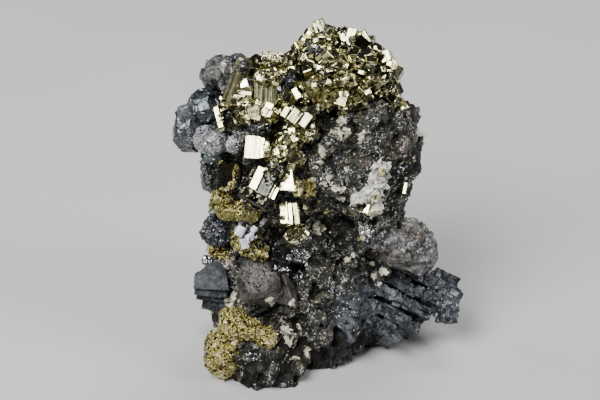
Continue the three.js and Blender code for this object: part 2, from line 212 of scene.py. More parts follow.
def make_piece(name, material, shape, smooth=False, instead=()):
    """Puts a shape's points and triangles into a new object that rides on the specimen."""
    MADE.append(shape)
    mesh = bpy.data.meshes.new(name)
    points, triangles = shape["points"], shape["triangles"]
    mesh.vertices.add(len(points))
    mesh.vertices.foreach_set("co", (points * MM).astype(np.float32).ravel())
    mesh.loops.add(triangles.size)
    mesh.loops.foreach_set("vertex_index", triangles.astype(np.int32).ravel())
    mesh.polygons.add(len(triangles))
    mesh.polygons.foreach_set("loop_start", np.arange(0, triangles.size, 3, dtype=np.int32))
    mesh.update(calc_edges=True)
    mesh.validate()
    uv = mesh.uv_layers.new(name="face_mm")
    if "uv" in shape:
        uv.data.foreach_set("uv", shape["uv"].astype(np.float32).ravel())
    for key, usual in STANDARD.items():
        numbers = shape.get(key, np.full(len(points), usual))
        mesh.attributes.new(key, "FLOAT", "POINT").data.foreach_set("value", numbers.astype(np.float32))
    mesh.polygons.foreach_set("use_smooth", np.full(len(triangles), smooth))
    mesh.materials.append(material)
    piece = bpy.data.objects.new(name, mesh)
    bpy.context.scene.collection.objects.link(piece)
    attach(piece, ROOT)
    if instead:
        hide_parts(*instead)
    low, high = points.min(0), points.max(0)
    print(f"{name}: {len(triangles)} triangles, {np.round(low, 1)} to {np.round(high, 1)} mm")


def joined(shapes):
    """Several shapes as one: their arrays one after the other, the triangles counted on."""
    start = np.cumsum([0] + [len(s["points"]) for s in shapes[:-1]])
    whole = {
        "points": np.concatenate([s["points"] for s in shapes]),
        "triangles": np.concatenate([s["triangles"] + n for s, n in zip(shapes, start)]),
    }
    for key, usual in STANDARD.items():
        whole[key] = np.concatenate([s.get(key, np.full(len(s["points"]), usual)) for s in shapes])
    whole["uv"] = np.concatenate([s.get("uv", np.zeros((len(s["triangles"]), 3, 2))) for s in shapes])
    return whole


# %% [markdown]
# ## Node helpers
# A material is a small machine of nodes. These helpers add one node, link what goes into it, and give back
# its output, so that each finish below reads from top to bottom like a recipe.

# %% Node helpers
BENCH = {}  # the material that is being made, and its tree


def fill(node, sockets):
    """Links or sets a node's inputs."""
    for key, value in sockets.items():
        if isinstance(value, bpy.types.NodeSocket):
            BENCH["tree"].links.new(value, node.inputs[key])
        else:
            node.inputs[key].default_value = value


def add(kind, sockets=(), **settings):
    """A new node with its settings, its inputs linked or set."""
    made = BENCH["tree"].nodes.new(kind)
    for key, value in settings.items():
        setattr(made, key, value)
    fill(made, dict(sockets))
    return made


def begin(name):
    """Starts a new material, and gives the piece's own coordinates in millimetres."""
    material = bpy.data.materials.new(name)
    material.use_nodes = True
    BENCH.update(material=material, tree=material.node_tree)
    place = add("ShaderNodeTexCoord").outputs["Object"]
    return add("ShaderNodeVectorMath", {0: place, "Scale": 1 / MM}, operation="SCALE").outputs[0]


def finished(sockets):
    """Links or sets the shader's sockets, and gives the material."""
    fill(BENCH["tree"].nodes["Principled BSDF"], sockets)
    return BENCH["material"]


def blotches(place, size, detail=4.0, seed=0.0, stretch=None):
    """Cloudy noise from 0 to 1, size mm across, stretched along an axis if asked."""
    if stretch:
        place = add("ShaderNodeMapping", {"Vector": place, "Scale": stretch}).outputs[0]
    made = add("ShaderNodeTexNoise", {"Vector": place, "W": seed, "Scale": 1 / size, "Detail": detail},
               noise_dimensions="4D")
    return made.outputs["Fac"]


def cells(place, size):
    """Crystal grains of about size mm: the Voronoi node, whose colour is random for each grain."""
    return add("ShaderNodeTexVoronoi", {"Vector": place, "Scale": 1 / size})


def ramp(value, *stops):
    """Colours or greys at places from 0 to 1 along a ramp."""
    made = add("ShaderNodeValToRGB", {"Fac": value})
    row = made.color_ramp.elements
    while len(row) < len(stops):
        row.new(1)
    for element, (at, colour) in zip(row, stops):
        element.position = at
        element.color = (*colour, 1) if isinstance(colour, tuple) else (colour, colour, colour, 1)
    return made.outputs["Color"]


def mix(share, first, second, how="MIX"):
    """Two colours mixed by a share from 0 to 1."""
    pair = [(*c, 1) if isinstance(c, tuple) else c for c in (first, second)]
    made = add("ShaderNodeMix", {0: share, 6: pair[0], 7: pair[1]}, data_type="RGBA", blend_type=how)
    return made.outputs[2]


def reckon(how, first, second):
    """Two numbers through a Math node."""
    return add("ShaderNodeMath", {0: first, 1: second}, operation=how).outputs[0]


def shaded(colour, shade):
    """A colour multiplied by a shade."""
    return mix(1, colour, shade, "MULTIPLY")


def times(first, second):
    """Two numbers multiplied."""
    return reckon("MULTIPLY", first, second)


def clouds(place, size, detail, seed, *stops, stretch=None):
    """Cloudy noise, read off a ramp."""
    return ramp(blotches(place, size, detail, seed, stretch), *stops)


def attribute(name):
    """The piece's own number with this name."""
    return add("ShaderNodeAttribute", attribute_name=name).outputs["Fac"]


def parts(grains):
    """Three random numbers for each grain, taken from its colour."""
    return add("ShaderNodeSeparateColor", {0: grains.outputs["Color"]}).outputs


def with_painted_shade(colour):
    """The colour with painted shade: darker where the piece's hollow number is high, in the hollows of the
    relief, and a little lighter on its ridges as painted light.
    """
    return shaded(colour, ramp(attribute("hollow"), (0.25, 1.45), (0.5, 1), (0.72, 0.3), (0.95, 0.1)))


def tilted(grains, lean):
    """The surface direction, leant over by each grain's random colour, so that every grain glints its own
    way."""
    random = add("ShaderNodeVectorMath", {0: grains.outputs["Color"], 1: (0.5, 0.5, 0.5)},
                 operation="SUBTRACT")
    leant = add("ShaderNodeVectorMath", {0: random.outputs[0], "Scale": lean}, operation="SCALE")
    normal = add("ShaderNodeNewGeometry").outputs["Normal"]
    total = add("ShaderNodeVectorMath", {0: normal, 1: leant.outputs[0]}, operation="ADD")
    return add("ShaderNodeVectorMath", {0: total.outputs[0]}, operation="NORMALIZE").outputs[0]


def bumped(height, deep, normal=None):
    """The surface direction over a relief that is deep mm high."""
    inputs = {"Height": height, "Distance": deep * MM}
    if normal is not None:
        inputs["Normal"] = normal
    return add("ShaderNodeBump", inputs).outputs[0]


# %% [markdown]
# ## Rock finish
# The rock is a fine mass of near-black grains: some dull, some olive or grey, and some that flash like tiny
# mirrors. Two sizes of Voronoi grain give each grain its own colour and its own tilt. Rust stains sit where
# the piece's "stain_and_side_shade" number is high, and a slate-blue bloom where its "slate" number is.
# Painted shade darkens it where its "hollow" number is high.

# %% Rock material


def rock_material():
    """Near-black grains with glints, grey dust and rust."""
    place = begin("rock_finish")
    coarse, fine = cells(place, 0.8), cells(place, 0.27)
    first, second = parts(coarse), parts(fine)
    dark = ramp(first[0], (0, (0.006, 0.006, 0.006)), (0.5, (0.022, 0.022, 0.019)),
                (0.8, (0.045, 0.044, 0.035)), (1, (0.11, 0.107, 0.086)))
    light = ramp(second[0], (0, (0.006, 0.006, 0.007)), (0.5, (0.034, 0.034, 0.028)),
                 (0.85, (0.1, 0.099, 0.079)), (1, (0.34, 0.335, 0.29)))
    colour = shaded(mix(0.6, dark, light), clouds(place, 4, 6, 0, (0.38, 0.3), (0.5, 0.72), (0.64, 1.7)))
    veins = blotches(place, 0.95, 6, 12, stretch=(1, 1, 2))
    colour = shaded(colour, ramp(veins, (0.4, 0.12), (0.5, 0.9), (0.61, 2.2)))
    olive = clouds(place, 3.4, 4, 3, (0.5, 0), (0.64, 0.75))
    colour = mix(olive, colour, mix(second[1], (0.018, 0.018, 0.008), (0.1, 0.097, 0.052)))
    slate = times(attribute("slate"), clouds(place, 1.6, 4, 7, (0.35, 0.25), (0.6, 1)))
    colour = mix(slate, colour, mix(second[1], (0.022, 0.026, 0.034), (0.12, 0.135, 0.165)))
    patch = times(attribute("stain_and_side_shade"), clouds(place, 0.9, 4, 5, (0.4, 0), (0.58, 0.8)))
    rust = ramp(second[1], (0, (0.04, 0.019, 0.016)), (0.6, (0.13, 0.068, 0.057)), (1, (0.32, 0.21, 0.175)))
    # painted shade: darker in the hollows, towards the foot and on the right shoulder
    colour = with_painted_shade(mix(patch, colour, rust))
    gather = clouds(place, 1.8, 5, 8, (0.48, 0.05), (0.6, 0.42))
    lit = times(ramp(attribute("hollow"), (0.5, 1), (0.74, 0.05)),
                ramp(attribute("slate"), (0.1, 1), (0.7, 0.15)))
    glint = reckon("GREATER_THAN", second[2], reckon("SUBTRACT", 1, times(gather, lit)))
    colour = mix(times(glint, 0.85), colour, (0.5, 0.495, 0.47))
    gloss = ramp(first[1], (0, 0.14), (0.5, 0.3), (1, 0.55))
    gloss = reckon("ADD", gloss, ramp(attribute("hollow"), (0.62, 0), (0.85, 0.45)))
    leaning = tilted(fine, reckon("ADD", 0.45, times(glint, 0.8)))
    relief = bumped(fine.outputs["Distance"], -0.14, leaning)
    relief = bumped(blotches(place, 0.5, 6, 9), 0.3, relief)
    return finished({"Base Color": colour, "Roughness": gloss, "Metallic": times(glint, 0.95),
                     "Normal": relief, "Specular IOR Level": 0.35})


rock_finish = rock_material()
print(rock_finish.name, len(rock_finish.node_tree.nodes), "nodes")

# %% [markdown]
# ## Loose grain finish
# Small grains stand up all over the rock. One material colours them all: the piece's "tint" number picks
# black, grey, olive, white or gold for each grain, and most are glossy, because a broken grain is a small
# mirror.

# %% Grain material


def grain_material():
    """Black, grey, olive, pale and gold grains, picked by tint."""
    place = begin("grain_finish")
    tint = attribute("tint")
    colour = ramp(tint, (0, (0.005, 0.005, 0.005)), (0.45, (0.012, 0.012, 0.01)),
                  (0.7, (0.036, 0.035, 0.024)), (0.84, (0.08, 0.078, 0.06)), (0.92, (0.2, 0.195, 0.17)),
                  (0.96, (0.46, 0.45, 0.42)), (0.97, (0.5, 0.44, 0.25)), (1, (0.66, 0.6, 0.38)))
    cloud = clouds(place, 0.7, 3, 0, (0.35, 0.6), (0.65, 1.3))
    metal = ramp(tint, (0.3, 0.3), (0.7, 0.55), (0.88, 0.6), (0.95, 0.1), (0.97, 1))
    fine = cells(place, 0.25)
    return finished({"Base Color": shaded(colour, cloud), "Metallic": metal,
                     "Roughness": ramp(parts(fine)[0], (0, 0.12), (1, 0.4)),
                     "Normal": bumped(blotches(place, 0.25, 2, 2), 0.03), "Specular IOR Level": 0.4})


grain_finish = grain_material()
print(grain_finish.name, len(grain_finish.node_tree.nodes), "nodes")

# %% [markdown]
# ## Pyrite finish
# Pyrite is a pale brass mirror. Its faces carry fine growth stripes, so a noise that is stretched along the
# face's own UV direction gives them, and a slower noise makes the mirror slightly wavy. A dark brown, used on
# the cap's core, is painted shade, and painted shade also darkens every face but the front one on some
# crystals.

# %% Pyrite material


def pyrite_material(name, shade_brown=0.0, lines=0.5, ripple=1.0, gloss=(0.07, 0.22)):
    """Pale brass mirror with stripes along each face. shade_brown browns it as painted shade, lines is how dark
    its stripes are, ripple how deep, and gloss the least and the most roughness."""
    place = begin(name)
    face = add("ShaderNodeUVMap", uv_map="face_mm").outputs[0]
    stripes = blotches(face, 1, 3, 1, stretch=(0.22, 5, 1))
    bands = blotches(face, 1, 1, 4, stretch=(0.08, 1.6, 1))
    tint = attribute("tint")
    fresh = ramp(tint, (0, (0.03, 0.029, 0.022)), (0.25, (0.12, 0.117, 0.076)), (0.5, (0.4, 0.382, 0.22)),
                 (0.72, (0.66, 0.625, 0.36)), (0.9, (0.84, 0.8, 0.51)), (1, (0.74, 0.74, 0.66)))
    brown = mix(clouds(place, 2.2, 4, 6, (0.35, 0), (0.7, 1)), (0.045, 0.04, 0.028), (0.28, 0.25, 0.15))
    colour = mix(clouds(place, 2.6, 4, 2, (0.45, 0), (0.75, 0.45)), fresh, (0.42, 0.395, 0.21))
    stripe_shade = ramp(stripes, (0.36, 0.3), (0.5, 1))
    colour = mix(lines, colour, shaded(colour, stripe_shade))
    colour = mix(shade_brown, colour, brown)
    # a high stain_and_side_shade number turns it near-black: painted shade on the sides of the large crystals
    colour = mix(ramp(attribute("stain_and_side_shade"), (0.5, 0), (0.95, 1)), colour,
                 mix(stripe_shade, (0.012, 0.012, 0.011), (0.1, 0.095, 0.075)))
    pits = clouds(place, 0.5, 3, 8, (0.3 - 0.1 * (1 - lines), 0), (0.33 - 0.08 * (1 - lines), 1))
    colour = mix(pits, (0.04, 0.034, 0.02), colour)
    gloss = clouds(place, 1.6, 3, 3, (0.3, gloss[0]), (0.7, gloss[1]))
    gloss = reckon("ADD", gloss, times(attribute("slate"), 0.26))
    relief = bumped(bands, 0.1 * ripple)
    relief = bumped(stripes, 0.035 * ripple, relief)
    relief = bumped(blotches(place, 1.7, 2, 5), 0.015 + 0.055 * ripple, relief)
    return finished({"Base Color": colour, "Metallic": 1, "Roughness": gloss, "Normal": relief})


pyrite = pyrite_material("pyrite_finish")
smooth_pyrite = pyrite_material("smooth_pyrite_finish", lines=0.18, ripple=0.25)
satin_pyrite = pyrite_material("satin_pyrite_finish", lines=0.9, gloss=(0.12, 0.26))
# a dark brown pyrite for the cap's core: painted shade in the gaps between the crystals
shade_core_pyrite = pyrite_material("shade_core_pyrite_finish", 0.85)
print(pyrite.name, len(pyrite.node_tree.nodes), "nodes")

# %% [markdown]
# ## Chalcopyrite finish
# Chalcopyrite is a deeper, greener yellow than pyrite, and it breaks with a rough grain instead of mirror
# faces. Grains of two sizes catch the light or lie in shade, the pits between them are brown, and a thin
# tarnish film turns one edge blue-green. Pale patches where a slow noise is high are painted highlights.

# %% Chalcopyrite material


def chalcopyrite_material(name, olive=0.0, dark=0.0, dull=(0.22, 0.205, 0.07)):
    """Deep brass grains with brown pits and pale patches of painted highlight. olive is how much of the dull
    colour covers it, and dark how much of it is tarnished brown-black."""
    place = begin(name)
    coarse, fine = cells(place, 0.42), cells(place, 0.2)
    first = parts(coarse)
    brass = ramp(first[0], (0, (0.13, 0.11, 0.03)), (0.4, (0.44, 0.375, 0.105)), (0.8, (0.7, 0.62, 0.24)),
                 (1, (0.9, 0.86, 0.58)))
    tinted = ramp(attribute("tint"), (0, (0.16, 0.135, 0.035)), (0.5, (0.5, 0.43, 0.12)),
                  (0.88, (0.72, 0.65, 0.28)), (1, (0.92, 0.89, 0.66)))
    colour = mix(0.5, brass, tinted)
    pits = clouds(place, 0.5, 5, 1, (0.42, 0), (0.49, 1))
    colour = mix(pits, (0.014, 0.012, 0.005), colour)
    colour = mix(olive, colour, dull)
    # painted highlight: pale patches where a slow noise is high; then painted shade in the hollows
    pale = clouds(place, 1.9, 5, 9, (0.54, 0), (0.63, 0.8 * (1 - olive)))
    colour = with_painted_shade(mix(pale, colour, mix(first[2], (0.66, 0.6, 0.26), (0.95, 0.92, 0.7))))
    film = clouds(place, 0.9, 3, 7, (0.4, (0.03, 0.045, 0.055)), (0.52, (0.09, 0.16, 0.15)),
                  (0.62, (0.3, 0.32, 0.33)))
    edge = times(ramp(attribute("stain_and_side_shade"), (0.4, 0), (0.8, 1)),
                 clouds(place, 1.1, 3, 8, (0.42, 0), (0.54, 0.9)))
    colour = mix(edge, colour, film)
    crust = clouds(place, 2.2, 4, 3, (0.54, 1), (0.62, 0))
    colour = mix(times(crust, dark), colour, (0.007, 0.006, 0.003))
    gloss = ramp(first[1], (0, 0.12), (1, 0.4 - 0.2 * dark))
    relief = bumped(fine.outputs["Distance"], -0.1, tilted(coarse, 0.7))
    relief = bumped(blotches(place, 0.45, 4, 2), 0.18, relief)
    return finished({"Base Color": colour, "Metallic": 0.92, "Roughness": gloss, "Normal": relief})


chalcopyrite = chalcopyrite_material("chalcopyrite_finish")
olive_chalcopyrite = chalcopyrite_material("olive_chalcopyrite_finish", olive=0.5)
honey_chalcopyrite = chalcopyrite_material("honey_chalcopyrite_finish", olive=0.82, dull=(0.082, 0.066, 0.02))
tarnished_chalcopyrite = chalcopyrite_material("tarnished_chalcopyrite_finish", dark=1)
print(chalcopyrite.name, len(chalcopyrite.node_tree.nodes), "nodes")

# %% [markdown]
# ## Sphalerite finishes
# Sphalerite is resinous: glossy but soft-edged, from blue-black to grey-brown. A fine sugary grain breaks up
# its highlights, and cloudy patches shift its colour. One function makes each shade.

# %% Sphalerite materials


def sphalerite_material(name, deep, pale, sparkle=0.3, metal=0.35, grain=0.32, salt=0.0, shine=0.75):
    """Resinous crystal from a deep to a pale shade. sparkle is how far its sugary grains lean, salt how white
    the palest of them are, and shine how wet it looks."""
    place = begin(name)
    sugar = cells(place, grain)
    cloud = blotches(place, 2.4, 5, 1)
    colour = mix(ramp(cloud, (0.38, 0), (0.66, 1)), deep, pale)
    colour = shaded(colour, ramp(parts(sugar)[0], (0, 0.55), (0.7, 1), (0.95, 2.2)))
    dust = clouds(place, 0.8, 4, 4, (0.58, 0), (0.72, 0.1 + 0.4 * salt))
    colour = mix(dust, colour, (0.42, 0.43, 0.45))
    white = ramp(parts(sugar)[1], (0.74, 0), (0.78, salt))
    colour = mix(white, colour, (0.72, 0.72, 0.73))
    gloss = ramp(cloud, (0.3, 0.3 - 0.26 * shine), (0.7, 0.6 - 0.32 * shine))
    leaning = tilted(sugar, sparkle)
    relief = bumped(blotches(place, 0.9, 5, 2), 0.012 + 0.13 * min(sparkle, 1), leaning)
    return finished({"Base Color": colour, "Metallic": metal, "Roughness": gloss, "Normal": relief,
                     "Specular IOR Level": shine, "Coat Weight": 0.2 * shine, "Coat Roughness": 0.2})


RESIN_SHADES = {  # deep and pale colour, sparkle, metal, size of grain, salt and shine
    "dark": ((0.013, 0.015, 0.017), (0.085, 0.094, 0.1), 0.2, 0.4, 0.3, 0.1),
    "teal": ((0.011, 0.015, 0.017), (0.07, 0.088, 0.093), 0.15, 0.4, 0.5),
    "blue": ((0.005, 0.006, 0.009), (0.036, 0.041, 0.053), 1, 0.6, 0.3, 0.35),
    "pale": ((0.05, 0.05, 0.058), (0.36, 0.36, 0.385), 1, 0.4, 0.26, 0.9),
    "knob": ((0.03, 0.03, 0.028), (0.175, 0.175, 0.166), 0.14, 0.35, 0.6, 0.1),
    "brown": ((0.02, 0.018, 0.016), (0.098, 0.091, 0.082), 0.3, 0.1, 0.2, 0.02, 0.25),
    "grey": ((0.029, 0.032, 0.038), (0.056, 0.06, 0.071), 0.04, 0.3),
    "black": ((0.004, 0.004, 0.004), (0.012, 0.0115, 0.0105), 0.1, 0.2),
}
RESIN = {name: sphalerite_material(name + "_sphalerite", *facts) for name, facts in RESIN_SHADES.items()}
silver_finish = sphalerite_material("silver_finish", (0.45, 0.45, 0.47), (0.8, 0.8, 0.82), 0.8, 1, 0.3)
print("sphalerite shades:", [m.name for m in bpy.data.materials if "sphalerite" in m.name])

# %% [markdown]
# ## Galena, gangue and calcite finishes
# Galena is a soft lead-grey metal whose broken faces are bright but never clean: small square pits and a
# bluish bloom. The gangue knob is dull grey stone with rust. Calcite is white and slightly see-through, so
# light goes a little way into it, which the shader's subsurface part does.

# %% Galena, gangue and calcite materials


def galena_material():
    """Lead-grey metal with square pits, fine steps and a dull bloom."""
    place = begin("galena_finish")
    chips = cells(place, 0.55)
    number = parts(chips)
    cloud = blotches(place, 3, 5, 1)
    colour = ramp(cloud, (0.34, (0.016, 0.018, 0.022)), (0.48, (0.05, 0.055, 0.064)),
                  (0.66, (0.125, 0.133, 0.145)))
    colour = shaded(colour, ramp(attribute("tint"), (0, 0.5), (1, 1.4)))
    colour = mix(ramp(number[0], (0.7, 0), (1, 0.22)), colour, (0.24, 0.255, 0.28))
    olive = clouds(place, 2.5, 3, 6, (0.56, 0), (0.7, 0.5))
    colour = mix(olive, colour, (0.085, 0.083, 0.065))
    pits = clouds(place, 0.6, 3, 3, (0.32, 0), (0.39, 1))
    colour = mix(pits, (0.006, 0.006, 0.008), colour)
    relief = bumped(blotches(place, 0.8, 5, 2), 0.09, tilted(chips, 0.12))
    return finished({"Base Color": colour, "Metallic": 0.75, "Normal": relief,
                     "Roughness": ramp(number[1], (0, 0.22), (1, 0.5))})


def gangue_material():
    """Dull grey-brown stone with streaks, dark grains and rust."""
    place = begin("gangue_finish")
    streak = blotches(place, 2.2, 6, 1, stretch=(1, 1, 2.2))
    colour = ramp(streak, (0.34, (0.018, 0.018, 0.017)), (0.46, (0.085, 0.083, 0.078)),
                  (0.6, (0.165, 0.162, 0.158)), (0.72, (0.38, 0.38, 0.38)))
    dark = cells(place, 0.3)
    speck = ramp(parts(dark)[0], (0, 0.4), (0.35, 0.92), (0.8, 1.1), (1, 1.6))
    colour = shaded(colour, speck)
    scratch = clouds(place, 0.9, 5, 8, (0.6, 0), (0.66, 0.8), stretch=(1, 2.6, 1.6))
    colour = mix(scratch, colour, (0.62, 0.62, 0.63))
    patch = clouds(place, 0.9, 4, 4, (0.42, 0), (0.56, 1))
    stain_and_side_shade = times(attribute("stain_and_side_shade"), patch)
    colour = mix(stain_and_side_shade, colour, ramp(patch, (0, (0.05, 0.026, 0.012)), (1, (0.17, 0.092, 0.052))))
    relief = bumped(blotches(place, 0.7, 5, 2), 0.1, tilted(dark, 0.24))
    # the base colour carries painted shade in the hollows of the relief
    return finished({"Base Color": with_painted_shade(colour), "Roughness": 0.22, "Normal": relief,
                     "Specular IOR Level": 0.7})


def calcite_material(name, white, shade):
    """White stone that lets a little light in, sugary on the surface."""
    place = begin(name)
    sugar = cells(place, 0.4)
    cloud = blotches(place, 1.6, 4, 1)
    colour = mix(ramp(cloud, (0.38, 0), (0.6, 1)), shade, white)
    tint = ramp(attribute("tint"), (0, 0.3), (0.3, 0.75), (0.6, 1), (1, 1.08))
    relief = bumped(blotches(place, 0.6, 4, 2), 0.06, tilted(sugar, 0.4))
    # painted shade in the hollows of the relief
    colour = with_painted_shade(shaded(colour, tint))
    return finished({"Base Color": colour, "Roughness": 0.22, "Normal": relief, "Subsurface Weight": 0.1,
                     "Subsurface Scale": 0.1 * MM, "Subsurface Radius": (1, 0.9, 0.8)})


galena = galena_material()
gangue = gangue_material()
calcite = calcite_material("calcite_finish", (0.93, 0.915, 0.83), (0.62, 0.605, 0.54))
cream_finish = calcite_material("cream_calcite_finish", (0.93, 0.875, 0.68), (0.6, 0.56, 0.42))
lilac_finish = calcite_material("lilac_calcite_finish", (0.88, 0.88, 0.95), (0.52, 0.52, 0.62))
print("materials:", len(bpy.data.materials))

# %% [markdown]
# ## Broken lumps
# A broken lump is the space behind a few dozen chisel faces, each at its own depth, as in the CAD model. To
# cover several lumps with one skin, rays are shot outwards from an axis inside them, and each ray ends where
# it leaves the last lump. That makes the rock a function of two parameters: how far round the axis, and how
# far up it.

# %% Lumps and their skins


def lump(at, half, seed, chisels=16, rough=0.22, front=(0, 0, 1)):
    """A broken lump's facts: its centre, half-sizes, seed, number of chisel faces, their spread in depth, its
    lean."""
    return {"at": np.array(at, float), "half": np.array(half, float), "seed": seed, "chisels": chisels,
            "rough": rough, "front": front}


def chisel_faces(one):
    """Outward directions and distances of a lump's faces: spiral directions, shaken and pressed to its
    half-sizes."""
    i = np.arange(one["chisels"])
    shaken = chances(i, one["seed"], 10) - 0.5
    ways = spiral(one["chisels"]) + 0.5 * shaken
    pressed = ways / one["half"]
    length = np.linalg.norm(pressed, axis=1)
    level = (1 - one["rough"] * chance(i, one["seed"] + 40)) * np.linalg.norm(ways, axis=1) / length
    return (pressed / length[:, None]) @ turned(one["front"], (0, 1, 0)).T, level


def reach(starts, ways, lumps):
    """How far each ray goes until it leaves the last lump. A ray is inside a lump from the last face that it
    enters by to the first that it leaves by."""
    farthest = np.zeros(len(starts))
    for one in lumps:
        normals, levels = chisel_faces(one)
        slope = ways @ normals.T
        slope = np.where(np.abs(slope) < 1e-9, 1e-9, slope)
        distance = (levels - (starts - one["at"]) @ normals.T) / slope
        leaves = np.where(slope > 0, distance, np.inf).min(1)
        enters = np.where(slope < 0, distance, -np.inf).max(1)
        inside = leaves > np.maximum(enters, 0)
        farthest = np.maximum(farthest, np.where(inside, leaves, 0))
    return farthest


def column_rays(low, high, rows, columns, crowd=0.0, bottom=0.16, top=0.28):
    """Rays of a rounded column. Its bottom rows swing from straight down to level at the axis' low end, its
    middle rows climb the axis, and its top rows swing up to straight up. crowd packs more columns onto the
    show side."""
    v = np.linspace(0, 1, rows)
    swing = np.radians(np.interp(v, [0, bottom, 1 - top, 1], [-90, 0, 0, 90]))[:, None]
    climb = np.interp(v, [0, bottom, 1 - top, 1], [0, 0, 1, 1])[:, None, None]
    u = np.arange(columns) / columns * 2 * math.pi
    around = (u + crowd * np.sin(u))[None]
    ways = np.stack([np.cos(swing) * np.sin(around), np.cos(swing) * np.cos(around),
                     np.sin(swing) + 0 * around], -1)
    starts = np.asarray(low, float) + climb * (np.asarray(high, float) - np.asarray(low, float))
    return np.broadcast_to(starts, ways.shape), ways


def soften(field, times):
    """Each number of a grid that closes round, averaged with its neighbours: twice itself, once each side."""
    for _ in range(times):
        field = (2 * field + np.roll(field, 1, 1) + np.roll(field, -1, 1)) / 4
        padded = np.concatenate([field[:1], field, field[-1:]])
        field = (2 * field + padded[:-2] + padded[2:]) / 4
    return field


def grid_normals(grid):
    """Outward directions of a closed grid: its step round it, crossed with its step up it."""
    around = np.roll(grid, -1, 1) - np.roll(grid, 1, 1)
    padded = np.concatenate([grid[:1], grid, grid[-1:]])
    upward = padded[2:] - padded[:-2]
    crossed = np.cross(upward, around)
    return crossed / np.maximum(np.linalg.norm(crossed, axis=-1, keepdims=True), 1e-9)


def closed_grid(grid):
    """Points and triangles of a grid that closes round. Its first and last rows shrink to one point each."""
    rows, columns = grid.shape[:2]
    inner = grid[1:-1].reshape(-1, 3)
    points = np.concatenate([inner, grid[:1].mean(1), grid[-1:].mean(1)])
    i, j = np.meshgrid(np.arange(rows - 3), np.arange(columns), indexing="ij")
    a = (i * columns + j).ravel()
    b = (i * columns + (j + 1) % columns).ravel()
    c, d = a + columns, b + columns
    ring = np.arange(columns)
    after = (ring + 1) % columns
    last = (rows - 3) * columns
    low, high = np.full(columns, len(inner)), np.full(columns, len(inner) + 1)
    triangles = np.concatenate([
        np.stack([a, c, b], 1), np.stack([b, c, d], 1),
        np.stack([low, ring, after], 1), np.stack([high, last + after, last + ring], 1),
    ])
    return points, triangles


def closed_shape(grid, **fields):
    """The shape of a grid that closes round. Each field has a number for each grid point, and both ends get
    0.5."""
    points, triangles = closed_grid(grid)
    numbers = {key: np.append(field[1:-1].ravel(), [0.5, 0.5]) for key, field in fields.items()}
    return {"points": points, "triangles": triangles, **numbers}


def skin(lumps, low, high, rows, columns, **rays):
    """The smooth skin over some lumps, as a grid of points in mm."""
    starts, ways = column_rays(low, high, rows, columns, **rays)
    far = reach(starts.reshape(-1, 3), ways.reshape(-1, 3), lumps).reshape(rows, columns)
    return starts + soften(far, 2)[..., None] * ways


# %% [markdown]
# ## The rock
# The same lumps as in the CAD model, under one skin. Three kinds of roughness go on top: slow hills, coarse
# broken grains and fine ones. A few dents make the crevices between the crystals. The foot is cut flat, as a
# saw leaves it.

# %% Rock lumps
ROCK_LUMPS = [
    lump([-0.6, 6, 5], [21.4, 14.4, 9], 20, chisels=28),
    lump([-9.6, -8.8, 3], [8.6, 10, 7.2], 21, rough=0.12),
    lump([1.4, -4, 6], [8.6, 8, 8], 22, front=(0.3, 0, 1)),
    lump([14, 9, 5], [10.5, 9.5, 7.6], 23),
    lump([-12, -1, 17], [9, 8.6, 9.6], 24),
    lump([1, -1.4, 15], [9.6, 9.6, 11], 25, front=(-0.45, 0, 1)),
    lump([7.4, 3, 17.6], [8.6, 8.8, 11.4], 26, front=(-0.5, 0, 1)),
    lump([-3, 4, 27], [12, 11, 10.6], 27),
    lump([-11, 0, 29.5], [8, 7.4, 8], 28),
    lump([9, 4, 29], [9.4, 10, 13], 29, front=(0.35, 0, 1)),
    lump([3, 5, 43], [16, 12.6, 12.6], 30, chisels=24),
    lump([2, -1.5, 40], [7.6, 7.6, 11], 31, front=(0.2, 0, 1)),
    lump([11, 1.6, 38], [8, 8.6, 12], 32, front=(-0.35, 0, 1)),
    lump([14.2, 6, 43.6], [9.4, 9.8, 10], 33),
    lump([10, -0.2, 51], [8.4, 6.4, 6.4], 36),
    lump([-11, 4.4, 46.6], [9.4, 8.8, 10.2], 34),
    lump([2, 12, 30], [13, 7.6, 22], 35, chisels=26),
    lump([7.6, -3.6, 7.2], [5.6, 6.8, 7.2], 37, chisels=14),
]
ROCK_AXIS = [(-1.5, 4.5, 7), (2.5, 5, 49)]
ROCK_ROWS = 250
ROCK_COLUMNS = 380
FOOT_DARK = 11.0  # below this height painted shade darkens the rock towards the foot, mm
SHOULDER = 47.0  # up to this height painted shade darkens the right side, mm
BACK_HELD = 1.3  # how far the rough skin is drawn in round the back, so that it stays in the CAD box
BACK_FROM, BACK_ROOM = 18.2, 1.9  # where the squeeze at the back begins, and how far it lets the rock go on
CREVICES = [  # centre, radius and depth of a dent, mm
    ([3.5, -7.5, 32], 3.6, 2.6),
    ([7, -6, 29.5], 3.2, 1.8),
    ([12, -5.5, 19], 3, 1.6),
    ([-4.5, -6, 30], 2.6, 1.6),
    ([-14, -5.5, 25.5], 2.4, 1.4),
    ([-15.5, -1.5, 53], 2.6, 2),
    ([18.5, 0, 37], 3.6, -1),
]


def hold_in(points):
    """Moves points in front of the specimen's back, by a line that bends over smoothly, and up to its
    foot."""
    y = points[..., 1]
    points[..., 1] = np.where(y > BACK_FROM, BACK_FROM + BACK_ROOM * np.tanh((y - BACK_FROM) / BACK_ROOM), y)
    points[..., 2] = np.maximum(points[..., 2], 0)


